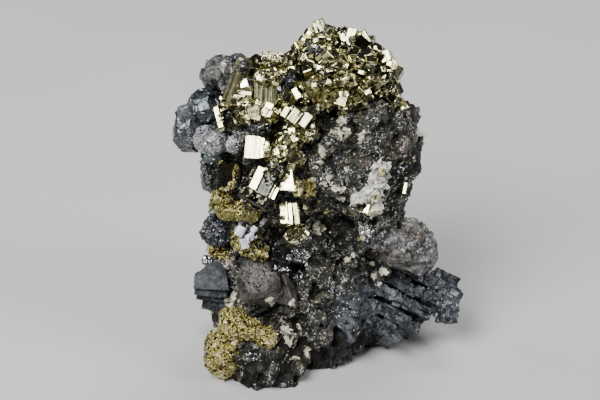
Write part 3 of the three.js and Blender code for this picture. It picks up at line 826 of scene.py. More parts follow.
def rock_grid():
    """The rock's skin, dented by smooth hollows, then pushed along its own direction by hills and broken
    grains."""
    grid = skin(ROCK_LUMPS, *ROCK_AXIS, ROCK_ROWS, ROCK_COLUMNS, crowd=0.45)
    normals = grid_normals(grid)
    dent = np.zeros(grid.shape[:2])
    for centre, radius, deep in CREVICES:
        dent += deep * np.exp(-((grid - np.array(centre)) ** 2).sum(-1) / radius**2)
    grid = grid - normals * dent[..., None]
    coarse = soften(broken(grid, 4.4, 50, 0.8)[0], 2)
    middle, _ = broken(grid, 1.7, 55, 0.7)
    fine, number = broken(grid, 0.62, 60, 0.6)
    x, y, z = np.moveaxis(grid, -1, 0)
    calm = 1 - 0.3 * fade(x, 15, 5)  # the far side is smoother
    rise = 0.7 * hills(grid, 6.5, 40, 3) + calm * (0.7 * coarse + 0.6 * middle) + 0.38 * fine
    # painted shade: darker in the hollows, on the right side below the shoulder and towards the foot
    painted_right_shade = 0.28 * fade(x, 12, 6) * fade(z, 30, 6) * fade(z, SHOULDER, -4)
    dark = 0.6 * fade(z, FOOT_DARK, -FOOT_DARK) + painted_right_shade
    hollow = np.clip(0.5 + 0.9 * (soften(rise, 6) - rise) + 0.16 * np.maximum(dent, 0) + dark, 0, 1)
    grid = grid + normals * (rise - 0.3 - BACK_HELD * fade(y, 8, 8))[..., None]
    hold_in(grid)
    return grid, number, hollow


rock_points, rock_numbers, rock_hollows = rock_grid()
rock_shape = closed_shape(rock_points, tint=rock_numbers, hollow=rock_hollows)
rock_at = rock_shape["points"]
_, rock_y, rock_z = rock_at.T
print("rock skin:", len(rock_shape["triangles"]), "triangles")

# %% [markdown]
# ## Finding places on the rock
# Small patches are given by where the eye sees them, in mm right of and above the middle of the view. A ray
# from the eye finds the place on the rock, so each patch truly sits on what carries it, from every side.

# %% Places on the rock


def tree_of(shape):
    """A shape ready for rays."""
    return BVHTree.FromPolygons(shape["points"].tolist(), shape["triangles"].tolist())


def facing(right, up):
    """The place and direction of the surface where the eye sees this point of its view, or None beside it."""
    aim = EYE_TARGET + right * EYE_RIGHT + up * EYE_UP
    place, normal, _, _ = surface_tree.ray_cast(Vector(EYE), Vector(unit(aim - EYE)))
    return None if place is None else (np.array(place), np.array(normal))


def shower(right, up, wide, high, count, seed, lean=0.0):
    """Places and directions where rays, scattered in an ellipse by chance and leaning with it, meet the
    rock."""
    i = np.arange(count)
    angle, out = 2 * math.pi * chance(i, seed), np.sqrt(chance(i, seed + 0.37))
    x, y = wide * out * np.cos(angle), high * out * np.sin(angle)
    sin, cos = math.sin(math.radians(lean)), math.cos(math.radians(lean))
    found = [facing(right + cos * a - sin * b, up + sin * a + cos * b) for a, b in zip(x, y)]
    found = [f for f in found if f is not None]
    return np.array([f[0] for f in found]).reshape(-1, 3), np.array([f[1] for f in found]).reshape(-1, 3)


# %% [markdown]
# Rust sits in a few named places: on the shoulder, by the knob and along the foot. Each is a soft spot that
# the rock's "stain_and_side_shade" number is raised in.

# %% Rust places and the finished rock
RUST = [  # right and up in the view, and radius, mm
    (17.8, 11, 1.8), (21, 10.6, 2.2), (22.8, 12.4, 1.8), (19.4, 9.8, 1.6), (13.2, 7.4, 0.9),
    (2, -30, 1.8), (-14, -12, 1.6), (13, -33, 2.2), (6, -27, 1.5), (17, -27.5, 1.6),
]


def rust_on(points):
    """The highest of the soft spots at each point: 1 in the middle of a spot, falling like a bell."""
    stain_and_side_shade = np.zeros(len(points))
    for right, up, radius in RUST:
        found = facing(right, up)
        if found is not None:
            stain_and_side_shade = np.maximum(stain_and_side_shade, np.exp(-((points - found[0]) ** 2).sum(1) / radius**2))
    behind = hills(points, 8, 90, 2)
    return np.maximum(stain_and_side_shade, np.where(points[:, 1] > 2, np.clip(2.2 * behind - 1.1, 0, 0.8), 0))


surface_tree = tree_of(rock_shape)
rock_shape["stain_and_side_shade"] = rust_on(rock_at)
SLATE_AT = np.array([10.5, -6, 9])  # the slate-blue side, where the rock meets the galena
SLATE_HALF = np.array([6.5, 12, 7.5])
rock_shape["slate"] = np.clip(1.5 - np.linalg.norm((rock_at - SLATE_AT) / SLATE_HALF, axis=1), 0, 1)
make_piece("rock", rock_finish, rock_shape, smooth=True, instead=["matrix_rock"])

# %% [markdown]
# ## Crystals
# A crystal is the space behind a few flat faces. A grid on a box is pulled onto them: each point goes out
# along its own direction until it meets a face. Where two faces are equally near, a power mean rounds the
# edge a little, as real edges are. Growth stripes are a folded line across each face, so the bands lean two
# ways by turns and flash one after the other.

# %% Crystal forms


def signed(x, y, z):
    """The direction (x, y, z) with every choice of signs, once each."""
    signs = np.array(list(np.ndindex(2, 2, 2))) * 2 - 1
    return np.unique(signs * np.array([x, y, z]) + 0.0, axis=0)


CUBE = np.concatenate([signed(1, 0, 0), signed(0, 1, 0), signed(0, 0, 1)])
CORNERS = signed(1, 1, 1)
EDGES = np.concatenate([signed(1, 1, 0), signed(0, 1, 1), signed(1, 0, 1)])
PYRITOHEDRON = np.concatenate([signed(2, 1, 0), signed(0, 2, 1), signed(1, 0, 2)])
TETRAHEDRON = CORNERS[np.prod(CORNERS, axis=1) > 0]
COUNTER = CORNERS[np.prod(CORNERS, axis=1) < 0]
SPIRE = np.array([[0, 0.36, 0.75], [0.8, 0.36, -0.1], [-0.8, 0.36, -0.1], [0, 0.36, -0.75]])


def form_faces(form, cut):
    """Directions and levels of a form's faces in a box from -1 to 1. cut is how much of the corners is
    missing."""
    pairs = {
        "cuboid": [(CUBE, 1), (CORNERS, 2.88), (EDGES, 1.95)],
        "cube": [(CUBE, 1), (CORNERS, 3 * (1 - cut))],
        "block": [(CUBE, 1), (EDGES, 2 * (1 - cut))],
        "pyritohedron": [(PYRITOHEDRON, 2.1)],
        "dodecahedron": [(CUBE, 1), (EDGES, 1.42 - cut)],
        "tetrahedron": [(CUBE, 1), (TETRAHEDRON, 1.1), (COUNTER, 2.4 - cut)],
        "octahedron": [(CUBE, 1 - cut), (CORNERS, 1.05)],
        "spire": [(CUBE, 1), (SPIRE, 0.36)],
        "wedge": [(CUBE, 1), (np.array([[-1, 0.94, 0]]), 0.98), (np.array([[1, 0.18, 0]]), 0.68)],
    }[form]
    ways = np.concatenate([directions for directions, _ in pairs])
    levels = np.concatenate([np.full(len(directions), float(level)) for directions, level in pairs])
    return ways, levels


def box_grid(count):
    """A grid on the six sides of a box from -1 to 1, its shared edges merged. Returns points and quads."""
    steps = np.arange(count + 1)
    a, b = [m.ravel() for m in np.meshgrid(steps, steps, indexing="ij")]
    sides, quads = [], []
    i, j = [m.ravel() for m in np.meshgrid(steps[:-1], steps[:-1], indexing="ij")]
    corner = i * (count + 1) + j
    for axis in range(3):
        for end in (0, count):
            side = np.empty((len(a), 3), int)
            side[:, axis] = end
            side[:, (axis + 1) % 3] = a
            side[:, (axis + 2) % 3] = b
            around = [corner, corner + count + 1, corner + count + 2, corner + 1]
            quad = np.stack(around if end else around[::-1], 1)
            quads.append(quad + len(a) * len(sides))
            sides.append(side)
    sides = np.concatenate(sides)
    key = sides @ np.array([1, count + 1, (count + 1) ** 2])
    _, first, where = np.unique(key, return_index=True, return_inverse=True)
    return sides[first] / count * 2 - 1, where.ravel()[np.concatenate(quads)]


FOLDS = 120  # corners of the folded line


def stripe_height(across, seed, width, deep):
    """A folded line: its corners are up to width apart by chance, low and high by turns, at most deep
    high."""
    i = np.arange(FOLDS)
    at = np.cumsum(width * (0.2 + 0.8 * chance(i, seed))) - FOLDS / 4 * width
    high = deep * np.where(i % 2, 0.55 + 0.45 * chance(i, seed + 1), 0.45 * chance(i, seed + 2))
    return np.interp(across, at, high)


def crystal(form, half, at, front, up, cut=0.1, count=30, stripe=(0.9, 0.07), lines=2, rough=0.0, tint=0.5,
            seed=1, sharp=60, dark_sides=0, chips=None, satin=0):
    """A crystal: half its half-sizes, front and up its turn, stripe the width and depth of its growth bands,
    lines 2 for stripes that run up the front face and 1 for stripes across it, rough the height of its etched
    hills. dark_sides is how much painted shade darkens every face but the front one, chips the size
    and depth of broken facets, and satin how much of the mirror is lost."""
    half = np.array(half, float)
    ways, levels = form_faces(form, cut)
    pressed = ways / half
    length = np.linalg.norm(pressed, axis=1)
    normals, distances = pressed / length[:, None], levels / length
    box, quads = box_grid(count)
    rays = box * half
    near = np.maximum(rays @ normals.T, 1e-6) / distances
    points = rays / ((near**sharp).sum(1) ** (1 / sharp))[:, None]
    face = near.argmax(1)
    main = np.abs(normals).argmax(1)
    along = np.eye(3)[(main + lines) % 3]
    along = unit(along - (along * normals).sum(1, keepdims=True) * normals)
    across = np.cross(normals, along)
    if stripe[1]:
        step = (points * across[face]).sum(1)
        rise = stripe_height(step + 7.3 * face, seed, stripe[0], stripe[1])
        points = points + normals[face] * (rise - stripe[1] * 0.5)[:, None]
    if rough:
        points = points + normals[face] * (rough * hills(points + 31.7 * seed, 1.5, seed, 3))[:, None]
    if chips:
        height, _ = broken(points + 17.3 * seed, chips[0], seed, 0.7)
        points = points + normals[face] * (chips[1] * height)[:, None]
    middle = points[quads].mean(1)
    quad_face = ((middle @ normals.T) / distances).argmax(1)
    flat = np.stack([(points[quads] * along[quad_face][:, None]).sum(-1),
                     (points[quads] * across[quad_face][:, None]).sum(-1) + 9.1 * quad_face[:, None]], -1)
    triangles = np.concatenate([quads[:, [0, 1, 2]], quads[:, [0, 2, 3]]])
    uv = np.concatenate([flat[:, [0, 1, 2]], flat[:, [0, 2, 3]]])
    # every face but the front one gets painted shade through the stain_and_side_shade number
    return {"points": points @ turned(front, up).T + np.array(at, float), "triangles": triangles, "uv": uv,
            "tint": np.full(len(points), tint), "slate": np.full(len(points), satin),
            "stain_and_side_shade": dark_sides * (normals[face][:, 2] < 0.9)}


def striped(form, half, at, front, up, cut=0.1, count=30, stripe=(0.9, 0.07), **facts):
    """A crystal whose front and up are given as the eye sees them."""
    return crystal(form, half, at, seen(*front), seen(*up), cut, count, stripe, **facts)


print("a box grid of 4 has", len(box_grid(4)[0]), "points and", len(box_grid(4)[1]), "quads")

# %% [markdown]
# ## Crowds of small crystals
# A druse is a crowd of small crystals. One small chip with cut edges, 24 corners and 44 triangles, is copied
# to hundreds of places in one array sum: corner = place + turn x (size x corner). Chips of other kinds, such
# as leaning calcite rhombs, are the same chip pushed over.

# %% Chips and druses


def chip(bevel=0.12, push=0.0, sides=(1, 1, 1)):
    """A box from -1 to 1 with its edges cut by bevel. Each corner of the box gives three points, each drawn
    in along two of the axes. push leans the top over, which makes a rhomb."""
    signs = np.array(list(np.ndindex(2, 2, 2))) * 2 - 1
    points = signs[:, None, :] * (1 - bevel * (1 - np.eye(3))[None])
    number = np.arange(8)
    faces = [[3 * c, 3 * c + 1, 3 * c + 2] for c in number]
    for axis in range(3):
        bit = 4 >> axis
        first, second = 4 >> ((axis + 1) % 3), 4 >> ((axis + 2) % 3)
        a, b = (axis + 1) % 3, (axis + 2) % 3
        for c in number[(number & bit) == 0]:
            d = c | bit
            faces += [[3 * c + a, 3 * d + a, 3 * d + b], [3 * c + a, 3 * d + b, 3 * c + b]]
        for side in (0, bit):
            ring = [3 * (side | m) + axis for m in (0, first, first | second, second)]
            faces += [ring[:3], [ring[0], ring[2], ring[3]]]
    faces = np.array(faces)
    flat = points.reshape(-1, 3)
    corners = flat[faces]
    outward = np.cross(corners[:, 1] - corners[:, 0], corners[:, 2] - corners[:, 0])
    wrong = (outward * corners.mean(1)).sum(1) < 0
    faces[wrong] = faces[wrong][:, ::-1]
    flat[:, 0] += push * flat[:, 2]
    return flat * np.array(sides), faces


def shard():
    """A grain with eight faces: one corner at each end of three crossed axes of unequal length."""
    points = np.array([[1, 0.2, 0], [-0.8, -0.1, 0.2], [0.1, 0.9, -0.2], [0, -1, 0.1], [0.2, 0, 0.8],
                       [-0.1, 0.1, -0.9]])
    faces = np.array([[0, 2, 4], [2, 1, 4], [1, 3, 4], [3, 0, 4], [2, 0, 5], [1, 2, 5], [3, 1, 5], [0, 3, 5]])
    return points, faces


def random_turns(normals, seed, lean):
    """A turn for each direction: its front leans off the direction by chance, and its spin is random."""
    i = np.arange(len(normals))
    front = unit(normals + lean * (chances(i, seed) - 0.5))
    x = unit(np.cross(chances(i, seed + 3) - 0.5, front))
    return np.stack([x, np.cross(front, x), front], -1)


CHIP, RHOMB, NUGGET, SHARD = chip(), chip(0.02, 0.5, (1.5, 0.85, 0.5)), chip(0.3), shard()


def druse(places, turns, sizes, seed, form=CHIP, tints=None):
    """Copies of a small form: corner = place + turn x (size x corner). Each copy keeps one tint."""
    points, faces = form
    scaled = points[None] * sizes[:, None]
    placed = np.einsum("nij,nkj->nki", turns, scaled) + places[:, None]
    offsets = np.arange(len(places))[:, None, None] * len(points)
    corners = scaled[:, faces]
    outward = np.cross(points[faces][:, 1] - points[faces][:, 0], points[faces][:, 2] - points[faces][:, 0])
    main = np.abs(outward).argmax(1)
    pick = np.arange(len(faces))[:, None]
    along = corners[:, pick, np.arange(3)[None], ((main + 2) % 3)[:, None]]
    across = corners[:, pick, np.arange(3)[None], ((main + 1) % 3)[:, None]]
    shift = 11.3 * chance(np.arange(len(places)), seed + 9)[:, None, None]
    tints = chance(np.arange(len(places)), seed + 8) if tints is None else tints
    return {"points": placed.reshape(-1, 3), "triangles": (faces[None] + offsets).reshape(-1, 3),
            "uv": np.stack([along, across + shift], -1).reshape(-1, 3, 2),
            "tint": np.repeat(tints, len(points))}


def sizes_between(count, least, most, seed, even=0.25):
    """Three half-sizes for each crystal: one size by chance, more small than large, each side a little off
    it."""
    i = np.arange(count)
    size = least + (most - least) * chance(i, seed) ** 1.8
    return size[:, None] * (1 + even * 2 * (chances(i, seed + 1) - 0.5))


print("a chip has", len(chip()[0]), "corners and", len(chip()[1]), "triangles")

# %% [markdown]
# ## The large pyrite crystals
# These have faces of 4 to 8 mm, each with its own stripes, so each gets a fine grid with the stripes as real
# relief. A bright cube, a dark banded block, a spike and a low prism stand on the show side, and a blade and
# two striped blocks at the upper left.

# %% Large pyrite crystals
PYRITE_CRYSTALS = {  # the CAD node's name after "pyrite_", and its crystals
    "bright_cube": [
        striped("cube", [1.45, 2.2, 2.4], [-10.8, -10.4, 50.7], (-0.085, 0.14, 0.98), (0.06, 1, 0), 0.02, 36,
                (2.4, 0.01), tint=0.6, seed=11, dark_sides=0.6, sharp=120),
        striped("cube", [0.7, 1.95, 2.5], [-9.05, -10.5, 50.55], (-0.19, 0.16, 0.96), (0.06, 1, 0), 0.02, 32,
                (1.2, 0.03), tint=0.68, seed=42, dark_sides=0.3, sharp=120)],
    "dark_block": [
        striped("block", [2.9, 3.7, 2.7], [-9.6, -11.5, 43], (-0.02, 0.12, 0.9), (0.48, 0.88, 0), 0.05, 52,
                (0.7, 0.1), tint=0.1, seed=12, dark_sides=1, chips=(0.9, 0.25)),
        striped("cube", [0.75, 2.25, 1.2], [-9.9, -13.6, 46], (-0.22, 0.15, 0.95), (0.42, 0.91, 0), 0.02, 28,
                (1.6, 0.03), tint=0.7, seed=19, dark_sides=1, sharp=120),
        striped("cube", [1.2, 1.95, 1.15], [-8.5, -13.6, 44.6], (-0.05, -0.02, 0.98), (0.42, 0.91, 0), 0.02,
                36, (0.6, 0.05), tint=1, seed=36, dark_sides=1, sharp=120, satin=0.6),
        striped("cube", [0.4, 1.55, 1.2], [-7.25, -13.6, 43.35], (-0.22, 0.15, 0.95), (0.42, 0.91, 0), 0.02,
                24, (0.8, 0.03), tint=0.7, seed=37, dark_sides=1, sharp=120),
        striped("cube", [0.32, 1.3, 1.1], [-6.55, -13.6, 42.65], (-0.18, 0.12, 0.96), (0.42, 0.91, 0), 0.02,
                24, (0.6, 0.05), tint=0.75, seed=38, dark_sides=1, sharp=120)],
    "spike": [
        striped("spire", [1.8, 2.9, 1.8], [-4, -11.4, 45.5], (-0.3, 0, 0.9), (0.05, 1, 0), count=32,
                stripe=(0.9, 0.03), tint=0.8, seed=13, sharp=90)],
    "low_prism": [
        striped("cube", [0.75, 2.15, 2.4], [-4.6, -11.1, 36.7], (-0.22, 0.16, 0.95), (-0.1, 1, 0), 0.03, 32,
                (1.3, 0.04), tint=0.7, seed=14, dark_sides=0.6, sharp=120),
        striped("cube", [0.34, 1.95, 2.3], [-3.4, -11.1, 36.6], (-0.2, 0.14, 0.96), (-0.12, 1, 0), 0.03, 24,
                (0.8, 0.04), tint=0.7, seed=43, dark_sides=0.6, sharp=120),
        striped("cube", [0.5, 2.2, 2.2], [-2.5, -10.8, 36.4], (-0.1, 0.12, 0.97), (-0.16, 1, 0), 0.05, 28,
                (0.35, 0.14), tint=0.55, seed=39, dark_sides=0.4),
        striped("cube", [1.3, 1.3, 1.4], [-2.4, -10.2, 32.2], (0.3, 0.1, 0.9), (-0.3, 1, 0), count=20,
                stripe=(0.6, 0.06), tint=0.3, seed=24, dark_sides=0.6)],
    "blade": [
        striped("block", [1, 5.2, 1.3], [-14.4, 1.5, 58.8], (-0.5, 0, 0.86), (0.46, 0.88, 0), 0.06, 44,
                (0.9, 0.24), tint=0.42, seed=15, satin=0.5)],
    "striped_block": [
        striped("cube", [2.2, 3.2, 2.8], [-8.8, 3, 56.6], (0.04, 0.03, 1), (0.03, 1, 0), 0.05, 52,
                (0.65, 0.24), tint=0.4, seed=16, satin=0.4)],
    "banded_cube": [
        striped("cube", [2, 2.2, 2], [-13.2, 0.4, 55.6], (-0.12, 0.42, 0.9), (0.1, 1, 0), count=44,
                stripe=(1.1, 0.3), lines=1, tint=0.46, seed=17, satin=0.4)],
    "corner_sliver": [
        striped("block", [0.6, 2.8, 1.6], [-17.4, -1.4, 52.6], (-0.3, 0.14, 0.94), (-0.35, 1, 0), count=24,
                stripe=(0.6, 0.06), tint=0.6, seed=18)],
}
SATIN = ("striped_block", "banded_cube", "blade", "centre_cluster")
OVERGROWN = {  # chips on a large crystal: centre, half-sizes of its cloud, count, largest, tint range, darkening
    "dark_block": [
        ([-12, -13, 42.6], [1.4, 1, 3.4], 190, 0.32, (0, 0.4), 0.95),
        ([-7.2, -12.6, 47.2], [1.6, 0.9, 1.5], 110, 0.38, (0.2, 1), 0.75),
        ([-8.8, -14.4, 40.4], [2.4, 0.8, 0.8], 30, 0.4, (0, 0.6), 0.9)],
    "spike": [
        ([-2.6, -11.8, 43], [1, 0.8, 1.7], 70, 0.5, (0.4, 0.9), 0)],
    "low_prism": [
        ([-2.6, -11.2, 32.2], [1.9, 1.2, 1.6], 110, 0.6, (0.1, 0.9), 0)],
    "bright_cube": [
        ([-6.8, -11, 49.4], [1.4, 1.2, 2], 70, 0.55, (0.4, 0.9), 0),
        ([-8.4, -12.4, 51.6], [0.5, 0.5, 1.9], 40, 0.36, (0.4, 0.9), 0)],
    "banded_cube": [
        ([-12.4, -1, 53.6], [2.4, 1.6, 1.4], 60, 0.5, (0.3, 1), 0)],
    "striped_block": [
        ([-8, 1.6, 59.6], [2.8, 1.6, 0.9], 60, 0.5, (0.2, 0.9), 0)],
    "blade": [
        ([-16.2, 0.6, 55.2], [1.1, 0.9, 1.5], 24, 0.5, (0.3, 0.9), 0)],
}


def overgrowth(at, cloud, count, most, tints, stain_and_side_shade, seed):
    """Small chips over an upright ellipsoid's near half: centre + half-sizes x an even direction."""
    ways = spiral(2 * count)
    ways = ways[ways @ EYE_BACK > -0.1]
    i = np.arange(len(ways))
    places = np.array(at) + ways * np.array(cloud) * (0.75 + 0.3 * chance(i, seed))[:, None]
    chips = druse(places, random_turns(ways, seed + 1, 1.5), sizes_between(len(ways), 0.15, most, seed + 5),
                  seed + 6, tints=tints[0] + (tints[1] - tints[0]) * chance(i, seed + 7))
    chips["stain_and_side_shade"] = np.full(len(chips["points"]), stain_and_side_shade)
    return chips


for number, (name, shapes) in enumerate(PYRITE_CRYSTALS.items()):
    extra = [overgrowth(*row, 1100 + 20 * number + n) for n, row in enumerate(OVERGROWN.get(name, []))]
    finish = satin_pyrite if name in SATIN else smooth_pyrite
    make_piece("striped_" + name, finish, joined(shapes + extra), instead=["pyrite_" + name])

# %% [markdown]
# ## The pyrite clusters and the cap
# The crown of the specimen is a crust of pyrite crystals of 1 to 4 mm. The larger ones stand where the CAD
# model has them, with striped faces. Between them small chips fill the gaps on a core painted dark brown as
# shade, so that bright faces sit next to black hollows, as they do on a real druse.

# %% Pyrite clusters
CLUSTERS = {  # each row: form, half-sizes, centre, front, up and tint. A block has deep stripes
    "centre_cluster": [
        ("cuboid", [2, 2.2, 2], [-2.2, -4.2, 53], (0.1, 0.1, 0.99), (0.6, 0.8, 0), 0.5),
        ("cuboid", [0.6, 1.1, 2], [-4.45, -5.3, 55.5], (-0.17, 0.24, 0.95), (0.5, 0.86, 0), 0.46),
        ("block", [1.3, 1.7, 2], [-2.75, -5.5, 55], (-0.12, 0.1, 0.98), (0.6, 0.8, 0), 0.32),
        ("cuboid", [1.1, 1.5, 2.2], [-0.55, -5.7, 54.2], (-0.27, 0.17, 0.94), (0.6, 0.8, 0), 0.42),
        ("block", [0.9, 1.9, 1.8], [0.5, -4.6, 56], (0.1, 0.1, 0.99), (0.8, 0.6, 0), 0.3),
        ("pyritohedron", [1.9, 1.8, 1.9], [-0.8, -6, 51.8], (-0.1, 0.3, 0.94), (0.3, 1, 0), 0.62),
        ("cuboid", [0.95, 1, 1.2], [-3.6, -7.7, 52.5], (-0.22, 0.18, 0.95), (-0.1, 1, 0), 0.7),
        ("pyritohedron", [2.2, 2.2, 2.2], [-4.7, -7.6, 49], (0.3, 0, 0.9), (0.2, 1, 0), 0.5),
        ("cuboid", [1.5, 1.5, 1.5], [-3.4, -8.4, 47.6], (0.1, 0.4, 0.9), (-0.4, 1, 0), 0.6),
    ],
    "upper_cluster": [
        ("cuboid", [2.1, 1.7, 1.9], [-11.2, -3, 54.2], (0.4, 0.3, 0.9), (0.2, 1, 0), 0.5),
        ("pyritohedron", [2, 2, 2], [-7.6, -3, 54.4], (0.1, 0.1, 0.9), (0.6, 1, 0), 0.6),
        ("cuboid", [1.4, 1.4, 1.4], [-9.4, -4.6, 53], (-0.3, 0.5, 0.9), (-0.4, 1, 0), 0.55),
        ("cuboid", [1.7, 1.5, 1.7], [-4.6, -1.2, 56.4], (0.3, 0.4, 0.9), (0.5, 1, 0), 0.6),
    ],
    "saddle_cluster": [
        ("cuboid", [2.6, 2.2, 2.6], [-7.2, 8.4, 58.6], (0.1, 0.8, 0.6), (0.1, 1, 0), 0.6),
        ("pyritohedron", [2.6, 2.6, 2.6], [-10.6, 8.6, 58.6], (0.4, 0.3, 0.9), (0.6, 1, 0), 0.5),
        ("cuboid", [2.2, 2.2, 2.2], [-3.4, 7.8, 59.4], (-0.3, 0.5, 0.9), (-0.6, 1, 0), 0.6),
        ("cuboid", [1.8, 1.8, 1.8], [-4.2, 4.2, 58.6], (0.3, 0.2, 0.9), (0.9, 1, 0), 0.55),
    ],
}


CLUSTER_STRIPE, BLOCK_STRIPE = (0.7, 0.08), (0.45, 0.2)  # width and depth, mm
FRONT_CLEAR = 0.7  # no chip stands nearer to a crystal's front than the angle with this cosine


def cluster_shape(rows, seed):
    """The large crystals of a cluster, and chips scattered over their upper sides but not over their
    fronts."""
    large, places, normals = [], [], []
    for n, (form, half, at, front, up, shade) in enumerate(rows):
        stripe = BLOCK_STRIPE if form == "block" else CLUSTER_STRIPE
        large.append(striped(form, half, at, front, up, count=26, stripe=stripe, tint=shade, seed=seed + n))
        ways = unit(spiral(26)[4:18] - 0.3 * EYE_BACK)
        ways = ways[ways @ unit(seen(*front)) < FRONT_CLEAR]
        places.append(np.array(at) + ways * np.array(half) * 0.98)
        normals.append(ways)
    places, normals = np.concatenate(places), np.concatenate(normals)
    sizes = sizes_between(len(places), 0.3, 0.85, seed + 30)
    return joined(large + [druse(places, random_turns(normals, seed + 40, 1.4), sizes, seed + 50)])


for number, (name, rows) in enumerate(CLUSTERS.items()):
    shape = cluster_shape(rows, 70 + 20 * number)
    finish = satin_pyrite if name in SATIN else pyrite
    make_piece("druse_" + name, finish, shape, instead=["pyrite_" + name])

# %% Pyrite cap
CAP_AT = np.array([5.2, 5.8, 57.6])
CAP_HALF = np.array([9.8, 8.5, 8.6])
CAP_COUNT = 46
CAP_SPREAD = 1.16
CAP_CRYSTAL = (1.1, 2.1)
CAP_STEPS = 7  # small parallel crystals that each large one is stepped with
CAP_CHIPS = 760
CAP_LARGE = [  # form, right, up and depth in the view, half-sizes, front and up as the eye sees them, tint
    ("cuboid", 4, 33.6, 8.6, [1.2, 1.3, 1.3], (-0.26, 0.3, 0.93), (-0.4, 1, 0), 0.5),
    ("dodecahedron", 2.2, 32.4, 8, [1.4, 1.4, 1.4], (-0.3, 0.1, 0.93), (0.7, 1, 0), 0.6),
    ("dodecahedron", 0.9, 31, 7, [1.2, 1.3, 1.2], (-0.15, 0.28, 0.94), (0.5, 1, 0), 0.66),
    ("dodecahedron", 3.8, 30.8, 5, [1.4, 1.3, 1.4], (-0.35, 0.25, 0.9), (-0.5, 1, 0), 0.6),
    ("cuboid", 5.6, 32.2, 6.6, [1.1, 1.5, 1.3], (-0.1, 0.3, 0.95), (0.3, 1, 0), 0.6),
    ("cuboid", 10.2, 32.2, 6.2, [0.9, 1.1, 1], (-0.36, 0.06, 0.93), (0.35, 1, 0), 0.6),
    ("cuboid", 12.4, 30.9, 5.8, [1.4, 1.5, 1.4], (-0.28, 0.28, 0.93), (-0.6, 1, 0), 0.5),
    ("cuboid", 9, 30.6, 4.4, [1.2, 1.1, 1], (-0.2, 0.1, 0.95), (0.6, 1, 0), 0.62),
    ("cuboid", 6.4, 28.6, 3, [1.3, 1, 1], (-0.26, 0.2, 0.94), (-0.3, 1, 0), 0.66),
    ("dodecahedron", 14.8, 29.2, 5.4, [1.3, 1.4, 1.3], (-0.25, 0.2, 0.94), (-0.3, 1, 0), 0.7),
    ("cuboid", 3, 24.8, 0.6, [1.5, 1.3, 1.4], (-0.28, 0.18, 0.94), (0.35, 1, 0), 0.95),
    ("cuboid", 9.2, 23.2, 0.6, [0.8, 1.7, 1], (-0.3, 0.2, 0.93), (0.2, 1, 0), 1),
    ("cuboid", 17, 24, 1, [1, 1.1, 1], (-0.26, 0.15, 0.94), (0.1, 1, 0), 1),
    ("cuboid", 18.8, 21.4, 2.2, [0.9, 1.6, 1.1], (-0.3, 0.2, 0.92), (-0.1, 1, 0), 0.8),
    ("dodecahedron", 17.6, 26.2, 3.4, [1.6, 1.5, 1.4], (-0.2, 0.2, 0.92), (0.3, 1, 0), 0.6),
    ("cuboid", 18.8, 24.6, 3, [1, 1.3, 1.2], (-0.1, 0.3, 0.92), (0.5, 1, 0), 0.4),
    ("cuboid", 16.8, 27.8, 4.6, [1.1, 1.2, 1.2], (-0.3, 0.1, 0.92), (-0.4, 1, 0), 0.55),
]


def cap_crystals():
    """The cap's large crystals: one for each spiral direction over the core, turned and sized by chance. Each
    is stepped with smaller ones that share its turn, pushed out to its faces, as crystals that grow side by
    side are."""
    least, most = CAP_CRYSTAL
    i = np.arange(CAP_COUNT)
    out = spiral(CAP_COUNT, CAP_SPREAD)
    size = least + (most - least) * chance(i, 1)
    half = np.stack([size, size * (0.8 + 0.4 * chance(i, 3)), size], -1)
    front = out + 1.2 * (chances(i, 4) - 0.5)
    up = np.stack([chance(i, 7) - 0.5, np.ones(CAP_COUNT), chance(i, 8) - 0.5], -1)
    at = CAP_AT + out * CAP_HALF
    forms = np.where(chance(i, 2) < 0.7, "cuboid", "pyritohedron")
    made = [crystal(forms[n], half[n] * 0.78, at[n], front[n], up[n], count=14, stripe=(0.5, 0.06),
                    tint=float(chance(n, 9)), seed=200 + n) for n in i]
    m = np.arange(CAP_COUNT * CAP_STEPS)
    parent = m // CAP_STEPS
    small = half[parent] * (0.28 + 0.42 * chances(m, 41))
    side = np.round(2.2 * chances(m, 44) - 1.1)
    shift = (half[parent] * 1.02 - small) * np.where(side == 0, 0.5 * (chance(m, 47) - 0.5)[:, None], side)
    turns = np.stack([turned(front[n], up[n]) for n in i])[parent]
    places = at[parent] + np.einsum("nij,nj->ni", turns, shift)
    for n, (form, right, high, deep, sides, face, top, shade) in enumerate(CAP_LARGE):
        level = EYE_TARGET[2] + (high - deep * EYE_UP[1]) / EYE_UP[2]
        made.append(striped(form, sides, [right + EYE_TARGET[0], deep, level], face, top, count=14,
                            stripe=(0.8, 0.05), tint=shade, seed=240 + n))
    return made + [druse(places, turns, small, 48)]


def cap_chips():
    """Small crystals all over the core: more spiral directions, shaken in and out by chance."""
    i = np.arange(CAP_CHIPS)
    out = spiral(CAP_CHIPS, 1.25)
    depth = 0.88 + 0.16 * chance(i, 31)
    places = CAP_AT + out * CAP_HALF * depth[:, None]
    return druse(places, random_turns(out, 32, 1.8), sizes_between(CAP_CHIPS, 0.25, 1.15, 33), 36,
                 tints=0.85 * chance(i, 34) ** 1.25)


# the core's dark brown finish is painted shade for the gaps between the crystals
core = skin([lump(CAP_AT, CAP_HALF * 0.92, 4, chisels=20, rough=0.1)], CAP_AT, CAP_AT, 60, 90)
core = core - grid_normals(core) * (0.6 + 0.6 * hills(core, 3, 5))[..., None]
make_piece("cap_core", shade_core_pyrite, closed_shape(core))
make_piece("cap_druse", pyrite, joined(cap_crystals() + [cap_chips()]), instead=["pyrite_cap"])

# %% [markdown]
# ## Sphalerite crystals
# Sphalerite grows rounded, many-faced crystals. Their edges are softer than pyrite's and their faces are
# etched, so the power mean is lower and slow hills roughen the faces instead of stripes.

# %% Sphalerite crystals


def etched(form, half, at, front, up, cut=0.1, rough=0.12, count=40, sharp=40, seed=1, chips=(1.9, 0.35)):
    """A crystal with soft edges, etched faces and broken facets."""
    return striped(form, half, at, front, up, cut, count, (0.8, 0), rough=rough, seed=seed, sharp=sharp,
                   chips=chips)


